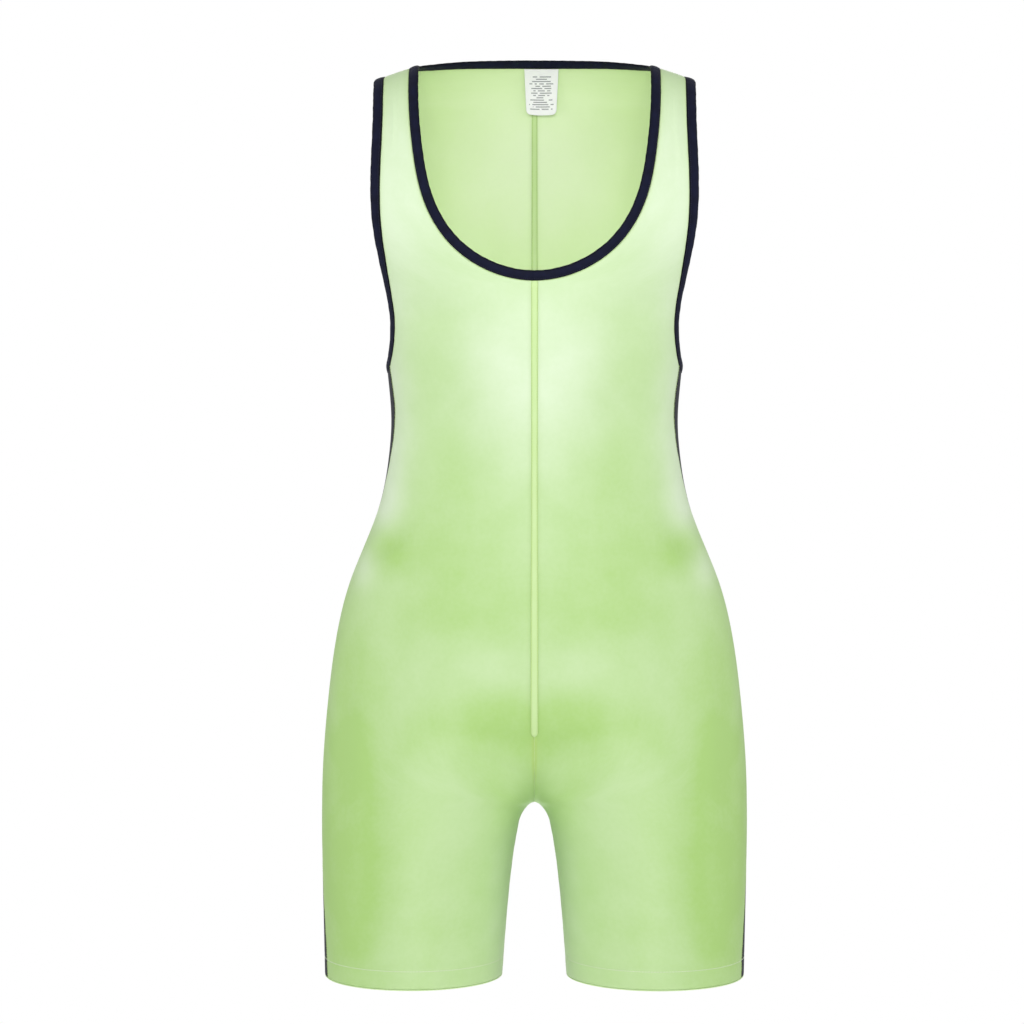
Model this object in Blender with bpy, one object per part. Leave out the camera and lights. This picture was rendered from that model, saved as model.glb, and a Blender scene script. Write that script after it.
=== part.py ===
"""Athletic bodysuit: a sleeveless stretch suit with a scoop neck, deep armholes and short legs.

The suit keeps the hollow shape that it has when it is worn. It is cut as two front panels, two back
panels and two side panels. Bound edges, seam tapes, turned hems and a blank label are sewn to them.

Metres, +Z up. The front faces -Y and the wearer's left is +X. The origin lies midway between the two
shoulders, level with the neck edge where it crosses them, which is where the wearer carries the suit.
"""

import functools
import math

import bpy
import numpy as np


def table(columns, *rows):
    """A table as one array for each named column."""
    return dict(zip(columns.split(), np.array(rows).T))


# Levels are drops below the origin's height, measured before the shoulders slope
HEM_DROP = 0.8065
CROTCH_DROP = 0.651
HEM_DEPTH = 0.017

CLOTH = 0.0012  # thickness of the knit panels
SEAM_GAP = 0.0003  # clearance between two pieces at a seam
BINDING_WIDTH = 0.0088
BINDING_PROUD = 0.0008  # how far a binding stands above and below the cloth beside it
TAPE_WIDTH = 0.0058
TAPE_THICKNESS = 0.0008
TAPE_END_DROP = 0.585  # the centre tapes stop here, above the crotch
LABEL_WIDTH = 0.031
LABEL_LENGTH = 0.039
LABEL_THICKNESS = 0.0010
LABEL_SHIFT = 0.006  # towards the wearer's left
LABEL_TOP_GAP = 0.0020  # from the cloth, which leaves room for the seam tape behind the label
LABEL_BOTTOM_GAP = 0.0050

STRAP_INNER_X = 0.1105  # neck seam at the shoulder ridge
RIDGE_HEIGHT = -0.0020  # of that point of the neck seam
SHOULDER_SLOPE = 0.36  # fall of the ridge for each metre outwards, far from the neck
SHOULDER_BEND = 0.050  # half width over which the two slopes run into each other
SHOULDER_ROUND = 0.20  # drop over which the shoulder rounds out to the full depth of the chest
SHOULDER_POWER = 2.5
INNER_GAP_AT_HEM = 0.0297  # from the centre plane to the inside of each leg
INNER_GAP_POWER = 0.36  # how fast the legs part below the crotch
LEG_SPLIT_RISE = 0.25  # height above the crotch where the two leg ovals have become one oval
FRONT_CURVE_RISE = 0.13  # height of the curve of the front seam down to the crotch
BACK_CURVE_RISE = 0.16
SEAM_CURVE_POWER = 2.2
BRIDGE_RISE = 0.060  # height above the crotch where the cloth spans the hollow between the legs
BRIDGE_SHARE = 0.90

# The hollow form, one row for each level
FIGURE = table(
    "drop half_width front back front_square back_square",
    (0.000, 0.2020, 0.1010, 0.0900, 0.20, 0.20),
    (0.060, 0.1970, 0.1050, 0.0940, 0.22, 0.22),
    (0.110, 0.1850, 0.1090, 0.0970, 0.24, 0.24),
    (0.150, 0.1660, 0.1110, 0.0965, 0.25, 0.24),
    (0.190, 0.1430, 0.1105, 0.0920, 0.25, 0.23),
    (0.225, 0.1330, 0.1070, 0.0860, 0.24, 0.22),
    (0.262, 0.1300, 0.1010, 0.0790, 0.22, 0.20),
    (0.310, 0.1262, 0.0940, 0.0710, 0.20, 0.18),
    (0.345, 0.1285, 0.0920, 0.0695, 0.18, 0.16),
    (0.383, 0.1355, 0.0930, 0.0750, 0.16, 0.14),
    (0.418, 0.1480, 0.0955, 0.0840, 0.14, 0.12),
    (0.454, 0.1625, 0.0980, 0.0940, 0.12, 0.10),
    (0.500, 0.1745, 0.0995, 0.1035, 0.10, 0.08),
    (0.560, 0.1828, 0.0990, 0.1095, 0.08, 0.06),
    (0.620, 0.1876, 0.0975, 0.1060, 0.06, 0.05),
    (0.680, 0.1886, 0.0955, 0.0970, 0.05, 0.04),
    (0.745, 0.1875, 0.0925, 0.0890, 0.05, 0.04),
    (0.810, 0.1862, 0.0890, 0.0840, 0.05, 0.04),
)

# Seam lines as they look from the front, one row for each point
NECK_FRONT = table(
    "x z",
    (0.0000, -0.1905),
    (0.0460, -0.1790),
    (0.0755, -0.1560),
    (0.0960, -0.1205),
    (0.1055, -0.0780),
    (0.1095, -0.0380),
    (STRAP_INNER_X, RIDGE_HEIGHT),
)
NECK_BACK = table(
    "x z",
    (0.0000, 0.0031),
    (0.0400, 0.0028),
    (0.0800, 0.0010),
    (STRAP_INNER_X, RIDGE_HEIGHT),
)
ARMHOLE_FRONT = table(
    "x z",
    (0.1325, -0.0100),
    (0.1320, -0.0500),
    (0.1335, -0.1000),
    (0.1317, -0.1500),
    (0.1245, -0.2000),
    (0.1218, -0.2350),
)
ARMHOLE_BACK = table(
    "x z",
    (0.1325, -0.0100),
    (0.1315, -0.0450),
    (0.1305, -0.0900),
    (0.1290, -0.1400),
    (0.1240, -0.1900),
    (0.1218, -0.2300),
)
ARMHOLE_BOTTOM_DROP = 0.2705
ARMHOLE_CORNER_DROP = 0.2640  # where the side panel's seams meet the armhole

# How far the side panel's front seam lies ahead of the side line, along the cloth, at each level
SIDE_SEAM = table(
    "drop ahead",
    (0.2640, 0.0270),
    (0.3000, 0.0250),
    (0.3300, 0.0200),
    (0.3550, 0.0120),
    (0.3800, 0.0020),
    (0.4300, -0.0080),
    (0.5500, -0.0110),
    (0.6500, -0.0070),
    (0.7100, 0.0030),
    (0.7600, 0.0140),
    (0.8100, 0.0220),
)
SIDE_PANEL_WIDTH = 0.045

# Section of a bound edge, from its seam to its free edge and back
BINDING_SECTION = table(
    "across offset",
    (SEAM_GAP, CLOTH + BINDING_PROUD * 0.6),
    (BINDING_WIDTH * 0.5, CLOTH + BINDING_PROUD),
    (BINDING_WIDTH * 0.94, CLOTH + BINDING_PROUD * 0.4),
    (BINDING_WIDTH, CLOTH * 0.5),
    (BINDING_WIDTH * 0.94, -BINDING_PROUD * 0.4),
    (BINDING_WIDTH * 0.5, -BINDING_PROUD),
    (SEAM_GAP, -BINDING_PROUD * 0.6),
)

# Rows of each stretch of a panel's edge, and columns across a panel
INSEAM_ROWS = 9
INSEAM_GRADING = 1.8  # above 1, the rows lie closer together near the crotch
CROTCH_ROWS = 6
FRONT_CENTRE_ROWS = 15
FRONT_NECK_ROWS = 12
BACK_CENTRE_ROWS = 21
BACK_NECK_ROWS = 6
SIDE_ROWS = 26
PANEL_COLUMNS = 10
SIDE_COLUMNS = 3
ARMHOLE_KNOTS = 13
CURVE_SAMPLES = 241  # along a seam line, to measure its length
LABEL_ROWS = 5
LABEL_COLUMNS = 4
SECTION_POINTS = 61  # samples along each quarter of a level's outline

# A point inside each bound opening, which tells the band which way to lie from its seam
NECK_MIDDLE = (0.0, 0.0, -0.030)
ARMHOLE_MIDDLE = (0.180, 0.0, -0.140)

TINY = 1e-9
TO_RIGHT = np.array((-1, 1, 1))  # turns a point of the wearer's left into its reflection
TO_CENTRE = np.array((0, 1, 1))  # moves a point onto the centre plane
TO_RIDGE = np.array((1, 0, 1))  # moves a point onto the plane of the shoulder ridges

COLOURS = {  # name: base colour, roughness, metallic
    "lime_knit": ((0.56, 0.80, 0.34, 1.0), 0.42, 0.0),
    "navy_knit": ((0.015, 0.020, 0.060, 1.0), 0.50, 0.0),
    "label_satin": ((0.90, 0.90, 0.91, 1.0), 0.55, 0.0),
}


def clear_scene():
    """Removes what a new Blender file holds."""
    for thing in list(bpy.data.objects):
        bpy.data.objects.remove(thing, do_unlink=True)


def make_materials():
    """One Principled material for each kind of cloth."""
    made = {}
    for name, (colour, roughness, metallic) in COLOURS.items():
        material = bpy.data.materials.new(name)
        material.use_nodes = True
        shader = material.node_tree.nodes["Principled BSDF"]
        shader.inputs["Base Color"].default_value = colour
        shader.inputs["Roughness"].default_value = roughness
        shader.inputs["Metallic"].default_value = metallic
        made[name] = material
    return made


def natural_spline(knots, values):
    """A smooth curve through the values at the knots, as a function of one number."""
    x = np.asarray(knots, float)
    y = np.asarray(values, float)
    step = np.diff(x)
    matrix = np.eye(len(x))
    right = np.zeros_like(y)
    for i in range(1, len(x) - 1):
        matrix[i, i - 1 : i + 2] = step[i - 1], 2 * (step[i - 1] + step[i]), step[i]
        right[i] = 6 * ((y[i + 1] - y[i]) / step[i] - (y[i] - y[i - 1]) / step[i - 1])
    bend = np.linalg.solve(matrix, right)

    def value(at):
        at = min(max(at, x[0]), x[-1])
        i = min(int(np.searchsorted(x, at, side="right")) - 1, len(x) - 2)
        before, after, gap = at - x[i], x[i + 1] - at, step[i]
        return (
            (bend[i] * after**3 + bend[i + 1] * before**3) / (6 * gap)
            + (y[i] / gap - bend[i] * gap / 6) * after
            + (y[i + 1] / gap - bend[i + 1] * gap / 6) * before
        )

    return value


def spline_by_length(points):
    """A smooth curve through the points, as a function of a number from 0 to 1."""
    points = np.asarray(points, float)
    lengths = np.linalg.norm(np.diff(points, axis=0), axis=1)
    knots = np.concatenate(([0.0], np.cumsum(lengths))) / lengths.sum()
    return natural_spline(knots, points)


def ease(share):
    """0 to 1 with a level start and end."""
    share = min(max(share, 0.0), 1.0)
    return share * share * (3 - 2 * share)


def by_drop(rows, *columns):
    """The named columns of a table as a smooth function of the drop."""
    return natural_spline(rows["drop"], np.stack([rows[name] for name in columns], axis=1))


figure_at = by_drop(FIGURE, "half_width", "front", "back", "front_square", "back_square")
seam_ahead_at = by_drop(SIDE_SEAM, "ahead")


def ridge_height(x):
    """Height of the shoulder ridge, which also runs on over the open neck."""
    fall = math.hypot(x, SHOULDER_BEND) - math.hypot(STRAP_INNER_X, SHOULDER_BEND)
    return RIDGE_HEIGHT - SHOULDER_SLOPE * fall


def shoulder_lift(x, drop):
    """How far a point lies above its level because the shoulder slopes."""
    return ridge_height(x) * (1 - ease(drop / SHOULDER_ROUND))


def shoulder_fullness(drop):
    """Share of the full depth that the rounded shoulder has reached."""
    left = 1 - min(drop / SHOULDER_ROUND, 1.0)
    return (1 - left**SHOULDER_POWER) ** (1 / SHOULDER_POWER)


def inner_gap(drop):
    """Distance from the centre plane to the inside of the leg."""
    below = max(drop - CROTCH_DROP, 0.0)
    return INNER_GAP_AT_HEM * (below / (HEM_DROP - CROTCH_DROP)) ** INNER_GAP_POWER


def seam_depth(depth, drop, curve_rise):
    """Depth of the centre seam, which curves in to nothing at the crotch."""
    left = 1 - min(max(CROTCH_DROP - drop, 0.0) / curve_rise, 1.0)
    return depth * (1 - left**SEAM_CURVE_POWER) ** (1 / SEAM_CURVE_POWER)


def quarter_outline(width, depth, square, centre, gap, root, bridge):
    """Points from the centre seam or inseam out to the side line, x and depth."""
    t = np.linspace(0, 1, SECTION_POINTS)
    start = math.asin(min(root / depth, 1 - TINY))
    turn = start + (math.pi / 2 - start) * t
    leg_x = centre - (centre - gap) * np.cos(turn) / math.cos(start)
    leg_y = depth * np.sin(turn)
    span_x = centre * t
    span_y = root + (depth - root) * (3 * t**2 - 2 * t**3)
    inner_x = leg_x + bridge * (span_x - leg_x)
    inner_y = leg_y + bridge * (span_y - leg_y)
    angle = t[1:] * math.pi / 2
    outer_x = centre + (width - centre) * np.sin(angle)
    outer_y = depth * np.cos(angle) * (1 + square * np.sin(angle) ** 2)
    return np.concatenate((inner_x, outer_x)), np.concatenate((inner_y, outer_y))


@functools.lru_cache(maxsize=None)
def half_outline(drop):
    """One level's outline on the +X side: share of the way round, x and y, front then back.

    The share is 0 at the front seam, 1 at the side line and 2 at the back seam.
    """
    width, front, back, front_square, back_square = figure_at(drop)
    above = CROTCH_DROP - drop
    gap = inner_gap(drop)
    centre = (width + gap) / 2 * (1 - ease(above / LEG_SPLIT_RISE))
    bridge = BRIDGE_SHARE * ease(above / BRIDGE_RISE)
    full = max(shoulder_fullness(drop), TINY)
    halves = []
    for depth, square, rise in (
        (front * full, front_square, FRONT_CURVE_RISE),
        (back * full, back_square, BACK_CURVE_RISE),
    ):
        root = seam_depth(depth, drop, rise)
        x, y = quarter_outline(width, depth, square, centre, gap, root, bridge)
        length = np.concatenate(([0.0], np.cumsum(np.hypot(np.diff(x), np.diff(y)))))
        halves.append((x, y, length / length[-1], length[-1]))
    front_half, back_half = halves
    return front_half, back_half


def surface(share, drop):
    """The point of the suit's inner face at a share of the way round and a level."""
    front_half, back_half = half_outline(drop)
    if share <= 1:
        x, y, shares, _ = front_half
        at, sign = share, -1.0
    else:
        x, y, shares, _ = back_half
        at, sign = 2 - share, 1.0
    px = float(np.interp(at, shares, x))
    py = sign * float(np.interp(at, shares, y))
    return np.array((px, py, shoulder_lift(px, drop) - drop))


def unit(vector):
    """The vector at length 1."""
    return vector / np.linalg.norm(vector)


def outward(share, drop):
    """The direction square to the cloth, away from the hollow."""
    if drop < TINY:
        x = surface(share, 0.0)[0]
        return unit(np.array((SHOULDER_SLOPE * x / math.hypot(x, SHOULDER_BEND), 0.0, 1.0)))
    on_seam = share < TINY or share > 2 - TINY
    from_crotch = abs(CROTCH_DROP - drop)
    if on_seam and from_crotch < TINY:
        return np.array((0.0, 0.0, -1.0))
    down_step = min(0.0005, from_crotch / 2) if on_seam else 0.0005
    down = surface(share, drop + down_step) - surface(share, max(drop - down_step, 0))
    if on_seam and drop < CROTCH_DROP:
        facing = -1.0 if share < 1 else 1.0
        return unit(np.array((0.0, -facing * down[2], facing * down[1])))
    if on_seam:
        return unit(np.array((down[2], 0.0, -down[0])))
    round_step = 0.012
    round_low, round_high = max(share - round_step, 0), min(share + round_step, 2)
    return unit(np.cross(down, surface(round_high, drop) - surface(round_low, drop)))


def place(x, z, face):
    """Share and drop of the point that looks to be at x and z from the front or the back."""
    drop = -z
    for _ in range(40):
        drop = shoulder_lift(x, drop) - z
    drop = max(drop, 0.0)
    xs, _, shares, _ = half_outline(drop)[0 if face == "front" else 1]
    share = float(np.interp(x, xs, shares))
    return (share, drop) if face == "front" else (2 - share, drop)


def side_share(ahead, drop):
    """Share of a point that lies so far ahead of the side line, along the cloth."""
    front_half, back_half = half_outline(drop)
    half = front_half if ahead >= 0 else back_half
    return 1 - ahead / half[3]


def neck_line(seam, face):
    """The neck seam of one half, from the centre plane to the shoulder ridge, as share and drop."""
    half = list(zip(seam["x"], seam["z"]))
    whole = spline_by_length([(-x, z) for x, z in reversed(half[1:])] + half)

    def line(t):
        x, z = whole(0.5 + 0.5 * t)
        share, drop = place(max(x, 0.0), z, face)
        return share, drop if t < 1 else 0.0

    return line


def knots_from_ridge(seam, face):
    """Share and drop of points along an armhole seam, the first on the ridge and close to the next."""
    curve = spline_by_length(list(zip(seam["x"], seam["z"])))
    ts = np.linspace(0, 1, ARMHOLE_KNOTS) ** 2
    knots = [place(*curve(t), face) for t in ts]
    return [(knots[0][0], 0.0)] + knots[1:]


def armhole_line():
    """The armhole seam, from the ridge down the front, under the arm and up the back."""
    corner_ahead = seam_ahead_at(ARMHOLE_CORNER_DROP)[0]
    under_arm = (
        (corner_ahead, ARMHOLE_CORNER_DROP),
        (0.0, ARMHOLE_BOTTOM_DROP),
        (corner_ahead - SIDE_PANEL_WIDTH, ARMHOLE_CORNER_DROP),
    )
    bottom = [(side_share(ahead, drop), drop) for ahead, drop in under_arm]
    front = knots_from_ridge(ARMHOLE_FRONT, "front")
    back = knots_from_ridge(ARMHOLE_BACK, "back")
    knots = front + bottom + back[::-1]
    scale = np.array((0.2, 1.0))  # brings shares near to metres, for even knots
    scaled = np.array(knots) * scale
    whole = spline_by_length(scaled)
    lengths = np.linalg.norm(np.diff(scaled, axis=0), axis=1)
    at = np.concatenate(([0.0], np.cumsum(lengths))) / lengths.sum()
    corners = at[len(front)], at[len(front) + len(bottom) - 1]

    def line(t):
        share, drop = whole(t) / scale
        return share, max(drop, 0.0)

    return line, corners


def stations(line, start, end, rows, grading=1.0):
    """Points along a seam line from start to end, evenly spaced, or closer towards the end."""
    ts = np.linspace(start, end, CURVE_SAMPLES)
    points = np.array([surface(*line(t)) for t in ts])
    lengths = np.linalg.norm(np.diff(points, axis=0), axis=1)
    travelled = np.concatenate(([0.0], np.cumsum(lengths)))
    wanted = travelled[-1] * (1 - (1 - np.linspace(0, 1, rows + 1)) ** grading)
    return [line(t) for t in np.interp(wanted, travelled, ts)]


def seam_line(share, low, high):
    """A line at one share of the way round, from one drop to another."""
    return lambda t: (share, low + (high - low) * t)


def side_seam_stations():
    """Drops of the rows that the front, side and back panels share, hem first."""
    above_hem = HEM_DROP - HEM_DEPTH
    return [HEM_DROP] + list(np.linspace(above_hem, ARMHOLE_CORNER_DROP, SIDE_ROWS + 1))


def centre_stations(share, top_drop, centre_rows):
    """Stations up the inseam and the centre seam, hem first."""
    above_hem = HEM_DROP - HEM_DEPTH
    leg_seam = seam_line(share, above_hem, CROTCH_DROP)
    inseam = stations(leg_seam, 0, 1, INSEAM_ROWS, INSEAM_GRADING)
    crotch = stations(seam_line(share, CROTCH_DROP, TAPE_END_DROP), 0, 1, CROTCH_ROWS)
    centre = stations(seam_line(share, TAPE_END_DROP, top_drop), 0, 1, centre_rows)
    return [(share, HEM_DROP)] + inseam + crotch[1:] + centre[1:]


def panel_stations(face):
    """Inner and outer edge of a front or back panel, row by row, hem first."""
    armhole, (front_corner, back_corner) = armhole_line()
    if face == "front":
        neck = neck_line(NECK_FRONT, face)
        share, centre_rows, neck_rows = 0.0, FRONT_CENTRE_ROWS, FRONT_NECK_ROWS
        armhole_span = (front_corner, 0.0)
    else:
        neck = neck_line(NECK_BACK, face)
        share, centre_rows, neck_rows = 2.0, BACK_CENTRE_ROWS, BACK_NECK_ROWS
        armhole_span = (back_corner, 1.0)
    inner = centre_stations(share, neck(0)[1], centre_rows)
    inner += stations(neck, 0, 1, neck_rows)[1:]
    outer = []
    for drop in side_seam_stations():
        ahead = seam_ahead_at(drop)[0] - (0 if face == "front" else SIDE_PANEL_WIDTH)
        clear = SEAM_GAP / 2 if face == "front" else -SEAM_GAP / 2
        outer.append((side_share(ahead + clear, drop), drop))
    armhole_rows = len(inner) - len(outer)
    outer += stations(armhole, *armhole_span, armhole_rows)[1:]
    return inner, outer


def panel_grid(face):
    """Points and outward directions of a panel of the wearer's left, row by row, hem first."""
    inner, outer = panel_stations(face)
    front_or_back = -1 if face == "front" else 1
    points = []
    normals = []
    for (share_in, drop_in), (share_out, drop_out) in zip(inner, outer):
        point_row = []
        normal_row = []
        for column in range(PANEL_COLUMNS + 1):
            v = column / PANEL_COLUMNS
            share = share_in + (share_out - share_in) * v
            drop = drop_in + (drop_out - drop_in) * v
            point = surface(share, drop)
            if column == 0 and drop <= CROTCH_DROP + TINY:
                point[0] = max(point[0], SEAM_GAP / 2)
            on_inseam = column == 0 and drop >= CROTCH_DROP - TINY
            if on_inseam or drop < TINY:
                point[1] = front_or_back * SEAM_GAP / 2
            point_row.append(point)
            normal_row.append(outward(share, drop))
        points.append(point_row)
        normals.append(normal_row)
    return np.array(points), np.array(normals)


def side_panel_grid():
    """Points and outward directions of the left side panel, hem first, front seam to back seam."""
    armhole, (front_corner, back_corner) = armhole_line()
    top = stations(armhole, front_corner, back_corner, SIDE_COLUMNS)
    points = []
    normals = []
    drops = side_seam_stations()
    for row, drop_at_seam in enumerate(drops):
        point_row = []
        normal_row = []
        for column in range(SIDE_COLUMNS + 1):
            v = column / SIDE_COLUMNS
            clear = SEAM_GAP * (0.5 - v)
            share_top, drop_top = top[column]
            rise = (HEM_DROP - drop_at_seam) / (HEM_DROP - ARMHOLE_CORNER_DROP)
            drop = HEM_DROP + (drop_top - HEM_DROP) * rise
            ahead = seam_ahead_at(drop)[0] - SIDE_PANEL_WIDTH * v - clear
            share = side_share(ahead, drop)
            if row == len(drops) - 1 and 0 < column < SIDE_COLUMNS:
                share = share_top
            point_row.append(surface(share, drop))
            normal_row.append(outward(share, drop))
        points.append(point_row)
        normals.append(normal_row)
    return np.array(points), np.array(normals)


def wall(points, normals, inner_offset, outer_offset, closed=False):
    """Vertices and triangles of a wall over a grid, closed round the rows if asked.

    Each square of the grid is split along the diagonal that lies further out, on both faces of the
    wall, so that walls laid over the same points keep their distance.
    """
    rows, columns = points.shape[:2]
    outside = (points + normals * outer_offset).reshape(-1, 3)
    inside = (points + normals * inner_offset).reshape(-1, 3)
    vertices = np.concatenate((outside, inside))
    flat_points, flat_normals = points.reshape(-1, 3), normals.reshape(-1, 3)
    under = rows * columns
    faces = []

    def index(row, column):
        return row * columns + column % columns

    spans = columns if closed else columns - 1
    for row in range(rows - 1):
        for column in range(spans):
            a, b = index(row, column), index(row, column + 1)
            d, c = index(row + 1, column), index(row + 1, column + 1)
            twist = flat_points[a] + flat_points[c] - flat_points[b] - flat_points[d]
            outwards = flat_normals[a] + flat_normals[b] + flat_normals[c] + flat_normals[d]
            if np.dot(twist, outwards) > 0:
                halves = ((a, b, c), (a, c, d))
            else:
                halves = ((a, b, d), (b, c, d))
            for i, j, k in halves:
                faces.append((i, j, k))
                faces.append((under + k, under + j, under + i))
    for column in range(spans):
        a, b = index(0, column), index(0, column + 1)
        faces.append((b, a, under + a, under + b))
        a, b = index(rows - 1, column), index(rows - 1, column + 1)
        faces.append((a, b, under + b, under + a))
    if not closed:
        for row in range(rows - 1):
            a, d = index(row, 0), index(row + 1, 0)
            faces.append((a, d, under + d, under + a))
            b, c = index(row, columns - 1), index(row + 1, columns - 1)
            faces.append((c, b, under + b, under + c))
    return vertices, faces


def reflect(vertices, faces):
    """The same piece for the wearer's right."""
    return vertices * TO_RIGHT, [tuple(reversed(face)) for face in faces]


def add_piece(name, vertices, faces, material):
    """A named object from vertices and faces, with its faces outwards and its rounds smooth."""
    mesh = bpy.data.meshes.new(name)
    mesh.from_pydata([tuple(v) for v in vertices], [], faces)
    mesh.materials.append(material)
    mesh.shade_smooth()
    mesh.set_sharp_from_angle(angle=math.radians(40))
    mesh.validate()
    piece = bpy.data.objects.new(name, mesh)
    bpy.context.scene.collection.objects.link(piece)
    return piece


def add_pair(name, vertices, faces, material):
    """A left piece and its reflection on the right."""
    add_piece(name + "_left", vertices, faces, material)
    add_piece(name + "_right", *reflect(vertices, faces), material)


def make_binding(edge, normals, middle):
    """A closed band along a loop of seam points, on the side where the opening's middle lies."""
    section = list(zip(BINDING_SECTION["across"], BINDING_SECTION["offset"]))
    count = len(edge)
    vertices = []
    for i in range(count):
        along = edge[(i + 1) % count] - edge[i - 1]
        across = unit(np.cross(normals[i], along))
        if np.dot(across, np.array(middle) - edge[i]) < 0:
            across = -across
        for distance, offset in section:
            vertices.append(edge[i] + across * distance + normals[i] * offset)
    size = len(section)
    faces = []
    for i in range(count):
        for k in range(size):
            a = i * size + k
            b = i * size + (k + 1) % size
            c = ((i + 1) % count) * size + (k + 1) % size
            d = ((i + 1) % count) * size + k
            faces.append((a, b, c, d))
    vertices = np.array(vertices)
    return vertices, facing_outwards(vertices, faces)


def facing_outwards(vertices, faces):
    """The faces, turned over if the closed shape is inside out."""
    volume = 0.0
    for face in faces:
        a = vertices[face[0]]
        for i in range(1, len(face) - 1):
            volume += np.dot(a, np.cross(vertices[face[i]], vertices[face[i + 1]]))
    return faces if volume > 0 else [tuple(reversed(face)) for face in faces]


def make_neck_binding(front, back):
    """The band round the whole neck: front scoop, both ridges and back neck."""
    (front_points, front_normals), (back_points, back_normals) = front, back
    front_start = len(front_points) - 1 - FRONT_NECK_ROWS
    back_start = len(back_points) - 1 - BACK_NECK_ROWS
    front_edge = list(front_points[front_start:, 0])
    back_edge = list(back_points[back_start:-1, 0])
    front_edge[0] = front_edge[0] * TO_CENTRE
    front_edge[-1] = front_edge[-1] * TO_RIDGE
    back_edge[0] = back_edge[0] * TO_CENTRE
    left = front_edge + back_edge[::-1]
    left_normals = list(front_normals[front_start:, 0])
    left_normals += list(back_normals[back_start:-1, 0])[::-1]
    edge = left + [point * TO_RIGHT for point in left[-2:0:-1]]
    normals = left_normals + [normal * TO_RIGHT for normal in left_normals[-2:0:-1]]
    return make_binding(edge, normals, NECK_MIDDLE)


def make_armhole_binding(front, side, back):
    """The band round the left armhole: down the front, under the arm and up the back."""
    (front_points, front_normals), (side_points, side_normals) = front, side
    back_points, back_normals = back
    start = len(side_seam_stations()) - 1
    down_front = list(reversed(front_points[start + 1 : -1, -1]))
    down_normals = list(reversed(front_normals[start + 1 : -1, -1]))
    under = [
        (front_points[start, -1] + side_points[-1, 0]) / 2,
        *side_points[-1, 1:-1],
        (back_points[start, -1] + side_points[-1, -1]) / 2,
    ]
    edge = [front_points[-1, -1] * TO_RIDGE] + down_front + under
    edge += list(back_points[start + 1 : -1, -1])
    normals = [front_normals[-1, -1]] + down_normals + list(side_normals[-1])
    normals += list(back_normals[start + 1 : -1, -1])
    return make_binding(edge, normals, ARMHOLE_MIDDLE)


def make_tape(grid, bottom_row, top_row, low_offset, high_offset):
    """A narrow tape over a centre seam, made from the panels' points beside it."""
    points, normals = grid
    rows = []
    row_normals = []
    for row in range(bottom_row, top_row + 1):
        seam = points[row, 0] * TO_CENTRE
        beside = points[row, 1] - points[row, 0]
        share = TAPE_WIDTH / 2 / np.linalg.norm(beside)
        edge = seam + beside * share
        edge_normal = unit(normals[row, 0] + (normals[row, 1] - normals[row, 0]) * share)
        rows.append([edge * TO_RIGHT, seam, edge])
        row_normals.append([edge_normal * TO_RIGHT, normals[row, 0], edge_normal])
    vertices, faces = wall(np.array(rows), np.array(row_normals), low_offset, high_offset)
    return vertices, facing_outwards(vertices, faces)


def make_hem(front, side, back):
    """The turned-up allowance inside the left leg, made from the panels' lowest rows."""
    loops = []
    for grid in (0, 1):
        rows = []
        for row in (0, 1):
            front_row, side_row, back_row = front[grid][row], side[grid][row], back[grid][row]
            inseam = (front_row[0] + back_row[0]) / 2
            front_seam = (front_row[-1] + side_row[0]) / 2
            back_seam = (side_row[-1] + back_row[-1]) / 2
            rows.append(
                [inseam, *front_row[1:-1], front_seam, *side_row[1:-1], back_seam]
                + list(reversed(back_row[1:-1]))
            )
        loops.append(np.array(rows))
    points, normals = loops
    inner = -SEAM_GAP - TAPE_THICKNESS
    vertices, faces = wall(points, normals, inner, -SEAM_GAP, closed=True)
    return vertices, facing_outwards(vertices, faces)


def make_label():
    """A blank label that hangs inside the back neck and stands off the cloth more and more."""
    top_z = NECK_BACK["z"][0] - SEAM_GAP
    rows = []
    row_normals = []
    for row in range(LABEL_ROWS + 1):
        down = row / LABEL_ROWS
        stand_off = LABEL_TOP_GAP + (LABEL_BOTTOM_GAP - LABEL_TOP_GAP) * down**1.5
        point_row = []
        normal_row = []
        for column in range(LABEL_COLUMNS + 1):
            x = LABEL_SHIFT + LABEL_WIDTH * (column / LABEL_COLUMNS - 0.5)
            side = np.array((-1 if x < 0 else 1, 1, 1))
            share, drop = place(abs(x), top_z - LABEL_LENGTH * down, "back")
            normal = outward(share, drop) * side
            point_row.append(surface(share, drop) * side - normal * stand_off)
            normal_row.append(normal)
        rows.append(point_row)
        row_normals.append(normal_row)
    vertices, faces = wall(np.array(rows), np.array(row_normals), -LABEL_THICKNESS, 0.0)
    return vertices, facing_outwards(vertices, faces)


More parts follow.
